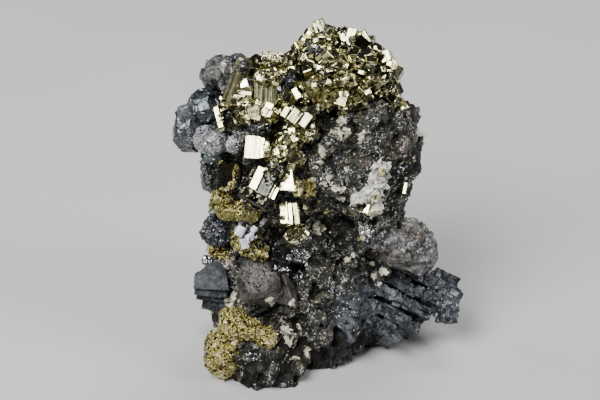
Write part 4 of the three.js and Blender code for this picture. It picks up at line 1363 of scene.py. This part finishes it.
SPHALERITE = {  # the node's name after "sphalerite_": its shade, slot and crystals
    "top_knob": ("knob", "pale_sphalerite", [
        etched("dodecahedron", [3.9, 3.8, 3.6], [-17.2, 8, 57.4], (-0.3, 0.3, 0.9), (0.4, 1, 0), 0, 0.04,
               seed=21, sharp=90, chips=(3, 0.4)),
        etched("dodecahedron", [2.3, 1.8, 2.2], [-14.6, 8.6, 59.4], (0.1, 0.5, 0.85), (-0.3, 1, 0), 0, 0.04,
               24, seed=46, sharp=90, chips=(2.2, 0.3))]),
    "upper_knob": ("teal", "sphalerite", [
        etched("dodecahedron", [3.4, 3.2, 3.2], [-20.6, 4, 52.4], (-0.2, 0.1, 0.9), (-0.3, 1, 0), 0, 0.05,
               seed=22, sharp=90, chips=(2.4, 0.3))]),
    "left_knob": ("dark", "sphalerite", [
        etched("dodecahedron", [3.4, 4.2, 3.4], [-23.4, 3.6, 47.6], (-0.5, 0.2, 0.9), (0.1, 1, 0), 0, 0.06,
               seed=23, sharp=90, chips=(2.2, 0.35)),
        etched("dodecahedron", [2.2, 2.3, 2.4], [-24, 4, 50.4], (-0.2, 0.4, 0.9), (-0.3, 1, 0), 0, 0.05, 24,
               seed=44, sharp=90, chips=(2, 0.2))]),
    "pale_crystal": ("pale", "pale_sphalerite", [
        etched("dodecahedron", [3.6, 2.7, 3], [-19.2, -2, 48], (0.1, 0.3, 0.9), (0.3, 1, 0), 0.04, rough=0.1,
               seed=24, chips=(1.1, 0.3))]),
    "small_rhomb": ("pale", "pale_sphalerite", [
        etched("dodecahedron", [1.6, 1.8, 1.6], [-14.6, -6, 49.4], (0.1, 0.1, 0.9), (0.4, 1, 0), 0, 0.05,
               seed=25, chips=(0.7, 0.2))]),
    "teal_crystal": ("teal", "sphalerite", [
        etched("cube", [2.2, 1.7, 2.2], [-19, -2, 44.2], (-0.1, 0.5, 0.8), (0.1, 1, 0), 0.2, 0.05, seed=26)]),
    "fine_crystal": ("dark", "sphalerite", [
        etched("tetrahedron", [2.4, 3.3, 2.6], [-19.4, -2.2, 40.4], (-0.3, 0, 0.9), (0.3, 1, 0), rough=0.1,
               seed=27, chips=(1, 0.5))]),
    "blue_ball": ("blue", "sphalerite", [
        etched("dodecahedron", [3, 3.2, 3], [-18.4, -3.6, 28.6], (-0.1, 0.1, 0.9), (0.2, 1, 0), 0, 0.12,
               seed=28, chips=(1.1, 0.45))]),
    "grey_cube": ("grey", "sphalerite", [
        etched("wedge", [3.9, 3, 3.4], [-19.2, -5, 18.9], (-0.02, 0.04, 0.9), (0.06, 1, 0), 0.28, 0, seed=29,
               sharp=120, chips=None),
        etched("tetrahedron", [1.2, 0.9, 1.3], [-20.7, -4.2, 21.7], (-0.1, 0.2, 0.9), (0.8, 1, 0), 0.3, 0.15,
               20, seed=45, chips=(0.6, 0.45))]),
    "stepped_foot": ("grey", "sphalerite", [
        etched("cube", [3.3, 0.75, 2.7], [-20, -6.6, 15.7], (0.04, 0.04, 0.95), (0.1, 1, 0), 0.12, 0,
               seed=30, sharp=120, chips=None),
        etched("cube", [3.1, 0.5, 2.5], [-19.9, -6.4, 14.2], (0.08, 0.02, 0.95), (0.12, 1, 0), 0.12, 0,
               seed=31, sharp=120, chips=None),
        etched("cube", [2.6, 1.1, 2.3], [-19.2, -6.2, 12.6], (0, 0, 0.95), (0.14, 1, 0), 0.2, 0, seed=41,
               sharp=120, chips=(1.6, 0.1))]),
    "brown_knob": ("brown", "pale_sphalerite", [
        etched("cube", [4.2, 4.4, 4.2], [-9.8, -8.4, 19.6], (-0.12, 0.3, 0.9), (-0.1, 1, 0), 0.3, 0.1, 48,
               sharp=14, seed=32, chips=(2.8, 0.16)),
        etched("tetrahedron", [3.1, 2.8, 2.8], [-5.2, -9.4, 18], (0.3, 0.2, 0.9), (0.6, 1, 0), rough=0.06,
               seed=33, chips=(2, 0.15))]),
    "black_cube": ("black", "sphalerite", [
        etched("cube", [1.9, 2.2, 2.2], [-6.1, -8.2, 25], (0.16, -0.1, 0.95), (0.1, 1, 0), 0.06, 0.03,
               seed=34, sharp=90, chips=(1.4, 0.1))]),
}
for name, (shade, slot, shapes) in SPHALERITE.items():
    make_piece("resin_" + name, RESIN[shade], joined(shapes), instead=["sphalerite_" + name])

# %% [markdown]
# ## Chalcopyrite
# The chalcopyrite is massive: rounded lumps with a broken, granular skin. Each mass is a ray skin over its
# CAD lumps, roughened by grains of two sizes, and then covered with loose chips, so that its outline is rough
# too.

# %% Chalcopyrite masses


def scatter(shape, count, seed, weight=None):
    """Random places on a shape: a triangle by its area, then a point in it. weight favours some points."""
    corners = shape["points"][shape["triangles"]]
    crossed = np.cross(corners[:, 1] - corners[:, 0], corners[:, 2] - corners[:, 0])
    area = np.linalg.norm(crossed, axis=1)
    share = area if weight is None else area * weight[shape["triangles"]].mean(1)
    i = np.arange(count)
    pick = np.searchsorted(np.cumsum(share) / share.sum(), chance(i, seed))
    pick = np.minimum(pick, len(share) - 1)
    a, b = np.sqrt(chance(i, seed + 1)), chance(i, seed + 2)
    spread = np.stack([1 - a, a * (1 - b), a * b], -1)
    return (corners[pick] * spread[..., None]).sum(1), crossed[pick] / np.maximum(area[pick], 1e-9)[:, None]


def mass(lumps, axis, rows, columns, seed, grain=0.7, rough=0.8):
    """A granular mass: a skin over lumps, pushed out by hills and by broken grains of two sizes. The axis for
    its rays has two ends, or is one point."""
    grid = skin(lumps, axis[0], axis[-1], rows, columns)
    normals = grid_normals(grid)
    coarse, _ = broken(grid, 2 * grain, seed)
    fine, number = broken(grid, grain, seed + 10)
    rise = 0.6 * hills(grid, 2.8, seed + 20, 3) + rough * (0.8 * coarse + 0.6 * fine)
    # painted shade: darker in the hollows of the relief, lighter on its ridges
    hollow = np.clip(0.5 + 1.2 * (soften(rise, 4) - rise), 0, 1)
    grid = grid + normals * rise[..., None]
    hold_in(grid)
    return closed_shape(grid, tint=number, hollow=hollow)


def grainy(shape, count, least, most, seed):
    """The mass with loose chips standing on it."""
    places, normals = scatter(shape, count, seed)
    chips = druse(places, random_turns(normals, seed + 3, 2),
                  sizes_between(count, least, most, seed + 4, 0.4), seed + 5, NUGGET)
    whole = joined([shape, chips])
    hold_in(whole["points"])
    return whole


MASSES = {  # the node's name after "chalcopyrite_": finish, number, least and largest of its chips, mass
    "lobe": (chalcopyrite, 2200, 0.06, 0.22, mass([
        lump([-15.3, -12, 10.8], [3, 3.8, 4.2], 1, 15), lump([-17.4, -13.4, 5.4], [3.8, 4.4, 5.8], 2, 15),
        lump([-8.7, -14, 9.9], [2.7, 2.6, 2.1], 3, 15), lump([-12, -13.8, 11.4], [2.6, 2.9, 2.1], 4, 16)],
        [(-17, -12.8, 5), (-14.6, -12.4, 12)], 150, 260, 300, 0.45, 0.5)),
    "left_crust": (olive_chalcopyrite, 300, 0.08, 0.26, mass([
        lump([-17.2, -5.6, 36.8], [2.6, 2.6, 2.8], 5), lump([-13.8, -8, 35.4], [4.4, 2.4, 2.1], 6)],
        [(-15.6, -6.6, 36)], 80, 130, 310, 0.7, 0.3)),
    "ball": (chalcopyrite, 130, 0.15, 0.4, mass([
        lump([-0.6, -8.8, 41], [1.8, 1.8, 1.8], 7, 15)], [(-0.6, -8.8, 41)], 50, 80, 320, 0.6)),
    "ledge": (chalcopyrite, 160, 0.15, 0.4, mass([
        lump([-17.4, -3.8, 23.6], [3.2, 2.4, 1.5], 8, 15)], [(-17.4, -3.8, 23.6)], 50, 90, 330,
        0.6)),
    "patch": (chalcopyrite, 260, 0.15, 0.42, mass([
        lump([-12.6, -8, 29], [2.9, 2.5, 2.8], 9, 15), lump([-10.4, -8.6, 27], [2, 2.1, 1.9], 10, 15)],
        [(-11.8, -8.2, 28.4)], 70, 110, 340, 0.6)),
    "honey_patch": (honey_chalcopyrite, 90, 0.15, 0.5, mass([
        lump([0.8, -4.2, 60.2], [2.1, 2, 1.6], 11, 9), lump([2.9, -4.2, 59], [2.1, 2, 1.5], 40, 9)],
        [(1.8, -4.2, 59.6)], 60, 100, 350, 1.2, 0.3)),
}
for number, (name, (material, count, least, most, shape)) in enumerate(MASSES.items()):
    shape = grainy(shape, count, least, most, 400 + 20 * number)
    if name == "lobe":
        shape["stain_and_side_shade"] = fade(shape["points"][:, 0], -19.8, -1.6) * (shape["points"][:, 2] < 9)
    make_piece("brass_" + name, material, shape, instead=["chalcopyrite_" + name])

dark = striped("block", [2.2, 3.2, 2.2], [-15.7, -5.8, 42], (-0.2, 0.1, 0.9), (0.05, 1, 0), count=34,
               stripe=(0.6, 0.05), rough=0.12, seed=35, sharp=30)
make_piece("brass_dark_crystal", tarnished_chalcopyrite, dark,
           instead=["chalcopyrite_dark_crystal"])

# %% [markdown]
# ## Galena
# Galena splits along three planes at right angles, so the broken mass is bars and blocks that all share the
# same three directions, at stepped heights. The CAD blocks come first, and smaller blocks are set on and
# between them in the same directions, so that the slots stay straight and dark.

# %% Galena steps
GALENA_AT = np.array([18.3, -0.5, 8.8])
GALENA_BAR_LENGTHS = np.array([7, 10.5, 11.5, 14, 15.5])  # from the lowest bar to the highest
GALENA_START = -5.6  # where all the bars begin, in the rock
GALENA_LENGTHS = 3
GALENA_BAR_WIDTH = 3.4
GALENA_DEPTH = 4.2
GALENA_STEP = 2.0  # between the lowest and the highest length
GALENA_ALONG = unit(seen(0.86, -0.42, -0.1))
GALENA_ACROSS = unit(np.cross(seen(0, 0.3, 0.9), GALENA_ALONG))
GALENA_OUT = unit(np.cross(GALENA_ALONG, GALENA_ACROSS))
GALENA_TURN = np.stack([GALENA_ALONG, GALENA_ACROSS, GALENA_OUT], -1)
GALENA_CHIPS = 260
LAST_BAR_AT = np.array([6.8, 9.3, -0.8])  # a short sixth bar, in the bars' own directions
END_BLOCK_AT = [28.2, -2.6, 8.8]


def galena_shape():
    """Bars snapped into lengths at stepped heights, each with ragged faces. Chips lie over them in the same
    three directions, and one upright block has broken off the end."""
    bars = len(GALENA_BAR_LENGTHS)
    n = np.arange(bars * GALENA_LENGTHS)
    bar, piece = n // GALENA_LENGTHS, n % GALENA_LENGTHS
    length = GALENA_BAR_LENGTHS[bar] / GALENA_LENGTHS
    along = GALENA_START + (piece + 0.5) * length + 0.35 * length * (chance(n, 21) - 0.5)
    wide = GALENA_BAR_WIDTH * (0.66 + 0.24 * chance(n, 20))
    across = (bar - (bars - 1) / 2) * GALENA_BAR_WIDTH + 0.5 * (chance(n, 35) - 0.5)
    rise = GALENA_STEP * (chance(n, 22) - 0.4)
    local = np.stack([along, across, rise], -1)
    half = np.stack([length * (0.5 + 0.12 * chance(n, 23)), wide / 2, np.full(len(n), GALENA_DEPTH)], -1)
    large = [crystal("cuboid", half[k], local[k] @ GALENA_TURN.T + GALENA_AT, GALENA_OUT, GALENA_ACROSS,
                     count=18, stripe=(0.9, 0.08), lines=1 + k % 2, rough=0.06, tint=float(chance(k, 24)),
                     seed=40 + k, sharp=90, chips=(1.8, 0.26)) for k in n]
    large.append(crystal("cuboid", [2.7, 1.2, 2.4], LAST_BAR_AT @ GALENA_TURN.T + GALENA_AT, GALENA_OUT,
                         GALENA_ACROSS, count=18, stripe=(0.9, 0.08), rough=0.1, tint=0.4, seed=61, sharp=90,
                         chips=(1.2, 0.3)))
    large.append(striped("cuboid", [1.9, 2.5, 1.8], END_BLOCK_AT, (0.25, 0.1, 0.95), (0.12, 1, 0), count=18,
                         stripe=(0.6, 0.1), rough=0.1, tint=0.7, seed=60, sharp=90, chips=(1.2, 0.3)))
    m = np.arange(GALENA_CHIPS)
    on = (chance(m, 24) * len(n)).astype(int)
    size = np.stack([0.25 + 1.1 * chance(m, 25) ** 2, 0.15 + 0.5 * chance(m, 26) ** 1.5,
                     0.1 + 0.3 * chance(m, 27)], -1)
    shift = np.stack([2.1 * chance(m, 28) - 1.05, 2 * chance(m, 29) - 1, np.ones(len(m))], -1) * half[on]
    loose = np.eye(3) + 0.12 * (chances(m, 50, many=9) - 0.5).reshape(-1, 3, 3)
    turns = unit(np.swapaxes(GALENA_TURN @ loose, 1, 2)).swapaxes(1, 2)
    small = druse((local[on] + shift) @ GALENA_TURN.T + GALENA_AT, turns, size, 33, chip(0.06), chance(m, 34))
    return joined(large + [small])


make_piece("galena_blocks", galena, galena_shape(), instead=["galena_steps"])

# %% [markdown]
# ## Gangue knob and calcite
# The knob above the galena is plain grey stone, a mass with a softer skin. The calcite is a sugary ridge: a
# white mass under several hundred little rhombs, darkened as painted shade in the gaps between them.

# %% Gangue and calcite
knob = mass([lump([19.4, 1.8, 22], [7.2, 6.6, 5], 12, 20, rough=0.14, front=(0.5, 0, 1)),
             lump([14.2, -0.8, 25.8], [5, 4.6, 3.2], 38, 14, front=(0.4, 0, 1))],
            [(17.8, 1.4, 22.2)], 130, 200, 500, 1.8, 0.3)
KNOB_RUST = [([19.6, -1.5, 28], 1.5), ([22.5, -0.5, 26.4], 1.2), ([14.6, -4.6, 23.6], 1.2),
             ([17, -5, 21.8], 1.3), ([19.6, -4.8, 19.6], 1.1)]  # centre and radius, mm
knob["stain_and_side_shade"] = 0.9 * sum(np.exp(-((knob["points"] - at) ** 2).sum(1) / wide**2) for at, wide in KNOB_RUST)
make_piece("gangue_knob_stone", gangue, knob, smooth=True, instead=["gangue_knob"])

ridge = mass([
    lump([13.5, -6.6, 44.2], [1.3, 1.5, 1.6], 13, 11), lump([13.2, -7.2, 42.1], [1.6, 1.6, 1.7], 14, 11),
    lump([12.1, -8.2, 40.2], [1.5, 1.7, 1.3], 15, 11), lump([10.3, -8.6, 38.9], [1.5, 1.3, 0.8], 16, 11),
    lump([12.6, -8.6, 36.6], [1.5, 1.5, 1], 17, 11)],
    [(12.4, -7.8, 38.6), (13.2, -7, 43)], 110, 150, 510, 0.8, 0.7)
# painted shade: the mass under the rhombs gets low tints, so that it shows dark between them
ridge["tint"] = 0.2 + 0.3 * ridge["tint"]
places, normals = scatter(ridge, 900, 520)
rhombs = druse(places, random_turns(normals, 523, 1.9), sizes_between(len(places), 0.12, 0.5, 524, 0.5), 525,
               RHOMB)
make_piece("calcite_ridge_rhombs", calcite, joined([ridge, rhombs]), instead=["calcite_ridge"])

TUFT = [  # centre, half-sizes, and front and up as the eye sees them: separate plates that stand on the brass
    ([-13.7, -10.2, 32.3], [0.85, 1, 0.35], (-0.35, 0.2, 0.9), (0.5, 1, 0)),
    ([-11.6, -10.5, 31.2], [1.05, 0.75, 0.35], (0.15, 0.35, 0.9), (-0.6, 1, 0)),
    ([-12.9, -10.6, 29.8], [0.7, 1, 0.3], (-0.1, -0.1, 0.9), (-0.3, 1, 0)),
    ([-11, -10.2, 32.8], [0.5, 0.6, 0.3], (-0.4, 0.1, 0.9), (0.8, 1, 0)),
]
plates = [striped("cube", half, at, front, up, 0.16, 20, (0.5, 0.06), rough=0.04, tint=0.6, seed=51 + n,
                  sharp=90, chips=(0.7, 0.14)) for n, (at, half, front, up) in enumerate(TUFT)]
make_piece("lilac_tuft", lilac_finish, joined(plates), instead=["calcite_tuft"])

# %% [markdown]
# ## Loose grains over the rock
# Thousands of small grains stand on the rock: mostly black and grey, some white or gold. They break up its
# outline and give the sparkle of a freshly broken ore.

# %% Rock grains
ROCK_GRAINS = 7000
bare = np.clip((rock_z - 2) / 16, 0.03, 1) * (1 - 0.7 * rock_shape["slate"])
places, normals = scatter(rock_shape, ROCK_GRAINS, 600, bare)
sizes = sizes_between(ROCK_GRAINS, 0.08, 0.36, 604, 0.4)
grains = druse(places, random_turns(normals, 607, 2), sizes, 605, SHARD)
hold_in(grains["points"])
make_piece("rock_grains", grain_finish, grains)

# %% White specks
SPECKS = 360
show_side = fade(rock_y, 4, -3) * fade(rock_z, 4, 6)
crowded = np.clip(3 * hills(rock_at, 4, 72, 3) - 1, 0.01, 1)
places, normals = scatter(rock_shape, SPECKS, 640, show_side * crowded)
specks = druse(places, random_turns(normals, 647, 1.6), sizes_between(SPECKS, 0.06, 0.22, 644, 0.7), 645,
               RHOMB)
hold_in(specks["points"])
make_piece("calcite_specks", calcite, specks)

# %% [markdown]
# ## Patches that the eye sees
# White calcite, pale pyrite, brassy specks and silvery glints lie on the rock in known places. Each patch is
# a shower of chips where rays from the eye meet the rock.

# %% Patches on the rock
# right, up, half-width and half-height in the view, then the count, the largest crystal and, where it isn't
# 0, the patch's lean in degrees. The count of the white rhombs is worked out below.
CALCITE_PATCHES = [
    (8.3, 15.7, 0.5, 0.9, 0.4), (7.4, 13.7, 1.1, 0.7, 0.45), (9.4, 13.4, 0.5, 0.7, 0.35),
    (12.3, 12.5, 0.3, 1.5, 0.3, -24), (4.5, 9.6, 0.7, 1.2, 0.4, 10), (4.1, 7.5, 0.25, 0.8, 0.3),
    (2.6, 4.2, 0.4, 0.25, 0.26), (4.8, 3.4, 0.6, 0.35, 0.22), (5.8, 4.6, 0.5, 0.3, 0.22, 20),
    (7, 2.4, 0.5, 0.4, 0.22), (8.4, 2, 0.4, 0.25, 0.26), (8.1, 0.4, 0.7, 0.2, 0.28, 5),
    (3, 6.6, 0.3, 0.25, 0.26), (9.4, 6, 0.3, 0.2, 0.22), (3.6, -5.6, 1, 1.2, 0.32),
    (-3.4, -24, 0.6, 0.7, 0.45), (-2.7, -25.9, 1, 0.8, 0.45), (-2, -28.2, 1.1, 0.8, 0.45),
    (1.5, -30, 0.6, 0.4, 0.35, 30), (-1, -31.6, 0.4, 0.4, 0.35), (-0.2, -25.4, 0.3, 0.2, 0.3),
    (-5.8, -20.4, 0.3, 0.9, 0.35, 20), (-13.9, -20.1, 1.2, 0.8, 0.5, 30),
    (-1.5, -20.8, 0.2, 0.6, 0.25, 20), (16.8, -14.2, 0.7, 0.25, 0.35, 40), (14.8, -15.3, 0.4, 0.5, 0.35),
    (15.8, -16.8, 0.3, 0.3, 0.3), (9.5, -12, 0.6, 0.3, 0.3, 20), (10.8, -11, 0.5, 0.3, 0.3),
    (9, -16.3, 0.4, 0.3, 0.3, 30), (12.5, -11.7, 0.25, 0.25, 0.25), (14.3, -12.7, 0.3, 0.3, 0.3),
    (15, -2.4, 1, 0.8, 0.4),
]
LILAC_PATCHES = [
    (-11.8, -4.4, 0.5, 0.5, 5, 0.5), (-7.6, -4.4, 0.4, 1, 8, 0.4),
]
PYRITE_PATCHES = [
    (-5.4, 25.2, 3, 0.9, 90, 0.36), (-5.4, 27.8, 3.4, 1, 110, 0.45), (-1.6, 11.2, 2, 1.2, 40, 0.6),
    (-3.8, 12.8, 2.8, 1.6, 50, 0.6), (2.4, 13.4, 0.8, 2.4, 30, 0.6), (4.6, 23.4, 3, 0.6, 22, 0.7),
    (1, 20.4, 0.5, 2.2, 14, 0.7), (-4.6, 8, 1.6, 1.6, 30, 0.5), (8.4, 24, 2, 1.6, 30, 0.9),
    (5, 18.6, 2.2, 0.9, 26, 0.55), (9.2, 20.4, 1.2, 1.8, 26, 0.8), (17.5, 22, 2.6, 3.4, 60, 0.9),
    (20.6, 18.8, 0.9, 0.8, 12, 0.8), (20.8, 1.6, 0.7, 1.4, 9, 0.9), (1.2, -1.8, 0.5, 0.7, 5, 0.6),
    (12.4, -1.6, 0.8, 0.8, 8, 0.7), (-12, 16, 1.6, 2, 26, 0.6),
]
BRIGHT_PATCHES = [  # crystals that have grown side by side, so that most of them flash at once
    (-4.4, 10.6, 2.4, 2.4, 90, 0.5), (-0.8, 12.6, 1.8, 0.8, 24, 0.5), (-10.6, 19.6, 2.8, 0.8, 60, 0.42),
    (-5.4, 25.4, 2.6, 0.8, 50, 0.34), (9, 23, 6, 4, 34, 0.8), (8.4, 31, 6.4, 2.4, 30, 0.8, -12),
    (17.6, 22.6, 2, 3.2, 26, 0.8), (-15.6, 17.4, 0.5, 2.6, 26, 0.4, -14), (-3, -4.6, 1.4, 1.2, 24, 0.4),
    (12.4, -1.6, 0.5, 0.6, 6, 0.7), (1.4, -2, 0.3, 0.5, 3, 0.6),
]
BRASS_PATCHES = [
    (16.4, 5.2, 0.8, 0.5, 9, 0.45), (15, 0.6, 0.6, 0.6, 7, 0.4), (5.4, -2, 0.6, 0.5, 6, 0.4),
    (12, -7.6, 0.4, 0.5, 5, 0.35), (-8.2, -11.2, 1.6, 1.2, 26, 0.5), (8.4, 17.4, 0.6, 0.6, 6, 0.4),
    (-13.2, 4.6, 0.22, 2.2, 26, 0.2, -6), (-15.2, 2.2, 1.7, 0.3, 24, 0.22, 5),
    (-12, -0.4, 2.4, 0.5, 26, 0.3, -25),
]
GLINT_PATCHES = [
    (13.2, -6.2, 1.4, 2, 60, 0.26), (-1, -11.2, 1.5, 0.9, 60, 0.34, 20),
    (-2.6, -14.4, 3, 0.6, 90, 0.34, -24), (-0.2, -15.6, 0.8, 1.5, 60, 0.34),
    (-9.8, -30.8, 1.6, 0.2, 18, 0.16, 5), (-9.4, -31.8, 1.4, 0.2, 14, 0.16, 5),
    (20.6, 5.8, 0.9, 2.2, 26, 0.3), (-18.6, -12, 0.9, 0.6, 30, 0.26), (4.4, 3.6, 2.4, 0.8, 40, 0.16, -10),
    (0.6, -10.2, 1.6, 3, 50, 0.16),
]
BLUE_PATCHES = [
    (-2.4, 23.8, 1.5, 1.4, 60, 0.4), (-7.2, 14.2, 2.8, 0.9, 90, 0.35, -8),
    (-11.4, 26.6, 1.2, 1.7, 50, 0.4, -25), (-15, 23.4, 0.8, 0.8, 24, 0.35),
    (-13.4, 28.2, 0.8, 0.7, 20, 0.35), (3, 30.6, 1.8, 1.6, 50, 0.4), (-3.4, 7, 1.8, 0.5, 30, 0.3),
    (-18.8, -6.6, 1.6, 1.4, 50, 0.35),
]
DARK_PATCHES = [
    (-11.6, 2.6, 1.7, 4, 260, 0.32, -12), (-5.4, 4.6, 2.2, 2.4, 160, 0.35), (-8, 7.2, 3.2, 0.6, 80, 0.3),
    (-5, -6.2, 1.7, 1.6, 90, 0.5), (-8.6, -8.2, 1.6, 1.5, 90, 0.35), (-13.2, 15.6, 1.4, 2, 60, 0.4),
    (-17.6, 5, 2, 2.6, 120, 0.35), (-9, -14.6, 4.2, 3.4, 160, 0.25),
]
LOOSE_CRYSTALS = [  # right and up in the view, half-sizes, lean of the front, up as the eye sees it, and tint
    (1.5, -2.2, [0.35, 0.75, 0.4], (0, 0), (0.1, 1, 0), 0.7),
    (-11.4, 23.4, [0.8, 0.9, 0.5], (0.05, 0), (-0.3, 1, 0), 1),
    (-16.2, 20.4, [0.3, 1.7, 0.5], (0, 0.05), (-0.72, 0.7, 0), 0.75),
    (-0.4, 21.4, [0.6, 1.1, 0.6], (0, 0), (-0.6, 1, 0), 0.62),
    (8.2, 20.2, [1.3, 1.1, 0.7], (0.14, 0.05), (0.3, 1, 0), 0.6),
    (9, 18.4, [1, 0.8, 0.5], (0.3, 0.1), (0.6, 1, 0), 0.9),
    (20.8, 18.8, [0.5, 0.9, 0.5], (0, 0), (-0.9, 1, 0), 0.8),
    (-6, 18.6, [0.8, 0.6, 0.6], (0, 0.08), (0.4, 1, 0), 0.66),
    (21, 2.4, [0.3, 1.1, 0.4], (0, 0), (0.15, 1, 0), 0.8),
]
RIDGE_CUBE_AT = [10.8, -9.6, 36.9]  # a gold cube against the lowest lobe of the calcite ridge
LOOSE_HABIT = {"count": 14, "stripe": (0.6, 0.07), "sharp": 90}
LOOSE_PROUD = 0.45  # how much of a crystal's depth its middle stands off the surface


def loose_crystals():
    """Small crystals where the eye sees them, half sunk in what carries them, each with its front to the
    light."""
    made = [crystal("cuboid", [0.95, 0.95, 1.1], RIDGE_CUBE_AT, FLASH, seen(0.2, 1, 0), tint=0.72, seed=279,
                    **LOOSE_HABIT)]
    for n, (right, up, half, lean, top, shade) in enumerate(LOOSE_CRYSTALS):
        place, normal = facing(right, up)
        front = unit(FLASH) + lean[0] * EYE_RIGHT + lean[1] * EYE_UP
        made.append(crystal("cuboid", half, place + LOOSE_PROUD * half[2] * normal, front, seen(*top),
                            tint=shade, seed=280 + n, **LOOSE_HABIT))
    return joined(made)


def patch_shape(rows, seed, least=0.15, form=CHIP, tints=None, toward=None):
    """Small crystals showered onto what the eye sees in each named ellipse, facing outwards or all about one
    way."""
    made = []
    for n, (right, up, wide, high, count, most, *lean) in enumerate(rows):
        places, normals = shower(right, up, wide, high, count, seed + n, *lean)
        if len(places) == 0:
            continue
        sizes = sizes_between(len(places), least, most, seed + 100 + n, 0.6)
        shade = tints and tints[0] + (tints[1] - tints[0]) * chance(np.arange(len(places)), n)
        turns = random_turns(normals, seed + 200 + n, 1.4)
        if toward is not None:
            turns = random_turns(np.broadcast_to(unit(toward), places.shape), seed + 200 + n, 0.8)
        made.append(druse(places, turns, sizes, seed + n, form, shade))
    return joined(made)


surface_tree = tree_of(joined(MADE))
RHOMBS_TO_COVER = 5  # rhombs for each square of the largest rhomb's half-size
fine_calcite = [(right, up, wide, high, 4 + int(RHOMBS_TO_COVER * wide * high / most**2), most, *lean)
                for right, up, wide, high, most, *lean in CALCITE_PATCHES]
make_piece("calcite_patches", cream_finish, patch_shape(fine_calcite, 700, 0.14, RHOMB))
make_piece("lilac_patches", lilac_finish, patch_shape(LILAC_PATCHES, 730, form=RHOMB))
make_piece("pyrite_patches", pyrite, patch_shape(PYRITE_PATCHES, 760))
make_piece("brass_patches", chalcopyrite, patch_shape(BRASS_PATCHES, 790, form=NUGGET))
make_piece("loose_crystals", smooth_pyrite, loose_crystals())
bright = patch_shape(BRIGHT_PATCHES, 910, 0.12, CHIP, (0.5, 0.9), FLASH)
make_piece("bright_patches", pyrite, bright)
glints = patch_shape(GLINT_PATCHES, 820, 0.08, CHIP, toward=FLASH)
make_piece("glint_patches", silver_finish, glints)
make_piece("blue_patches", RESIN["blue"], patch_shape(BLUE_PATCHES, 850, 0.12))
dark = patch_shape(DARK_PATCHES, 880, 0.12, SHARD, (0.1, 0.88))
make_piece("dark_patches", grain_finish, dark)

# %% [markdown]
# ## Round the back
# The back and the sides are broken rock too, with a thin scatter of pyrite, white calcite and brass where the
# noise is high, so that the specimen is as interesting to turn over as a real one.

# %% Scatter round the back
behind = fade(rock_y, 7, 3) * fade(rock_z, 4, 4)


def clumps(size, seed, least):
    """A weight that is above nought only where slow hills rise over least, and only round the back."""
    return behind * np.clip(hills(rock_at, size, seed, 2) - least, 0, 1) + 1e-9


for name, slot, material, count, most, form, seed, least in [
    ("back_pyrite", "pyrite", pyrite, 260, 1.1, CHIP, 960, 0.35),
    ("back_calcite", "calcite", calcite, 340, 0.5, RHOMB, 980, 0.5),
    ("back_brass", "chalcopyrite", chalcopyrite, 220, 0.6, NUGGET, 1000, 0.5),
]:
    places, normals = scatter(rock_shape, count, seed, clumps(7, seed, least))
    sizes = sizes_between(count, 0.25, most, seed + 4)
    shape = druse(places, random_turns(normals, seed + 6, 1.4), sizes, seed + 9, form)
    hold_in(shape["points"])
    make_piece(name, material, shape)

# %% [markdown]
# ## Floor, light and air
# The floor is plain and pale. Mirror faces need something to mirror, so the light comes from a few large soft
# panels with dark between them: that gives bright faces next to dark ones. The air itself is dim.

# %% Floor and lights
FLOOR_HALF = 3000.0  # half the floor's side, mm
FLOOR_GAP = 0.05  # between the floor and the foot, mm
LIGHTS_AIM = 35.0  # the height that the panels look at, mm


def floor_piece():
    """A wide flat square under the specimen."""
    points = FLOOR_HALF * MM * np.array([[-1, -1, 0], [1, -1, 0], [1, 1, 0], [-1, 1, 0]])
    mesh = bpy.data.meshes.new("floor")
    mesh.from_pydata(points.tolist(), [], [(0, 1, 2, 3)])
    place = begin("floor_finish")
    shade = clouds(place, 60, 3, 0, (0.3, (0.5, 0.5, 0.495)), (0.7, (0.54, 0.54, 0.535)))
    mesh.materials.append(finished({"Base Color": shade, "Roughness": 0.9, "Specular IOR Level": 0.1}))
    made = bpy.data.objects.new("floor", mesh)
    made.location.z = -FLOOR_GAP * MM
    bpy.context.scene.collection.objects.link(made)


def panel(name, azimuth, elevation, distance, wide, high, watts):
    """A soft panel of some metres and watts that looks at the specimen from a direction, in degrees."""
    light = bpy.data.lights.new(name, "AREA")
    light.shape = "RECTANGLE"
    light.size, light.size_y = wide, high
    light.energy = watts
    made = bpy.data.objects.new(name, light)
    back = Vector(way_of(azimuth, elevation))
    made.location = Vector((0, 0, LIGHTS_AIM * MM)) + back * distance
    made.rotation_euler = back.to_track_quat("Z", "Y").to_euler()
    bpy.context.scene.collection.objects.link(made)


floor_piece()
panel("key_left", KEY_AZIMUTH, KEY_ELEVATION, 0.6, 0.34, 0.32, 6)
panel("fill_right", 66, 34, 0.62, 0.12, 0.4, 1.7)
panel("back_rim", 160, 50, 0.6, 0.36, 0.16, 2.2)
panel("left_rim", -115, 26, 0.6, 0.1, 0.34, 1)

world = bpy.data.worlds.new("air")
world.use_nodes = True
world.node_tree.nodes["Background"].inputs["Color"].default_value = (0.022, 0.023, 0.026, 1)
bpy.context.scene.world = world
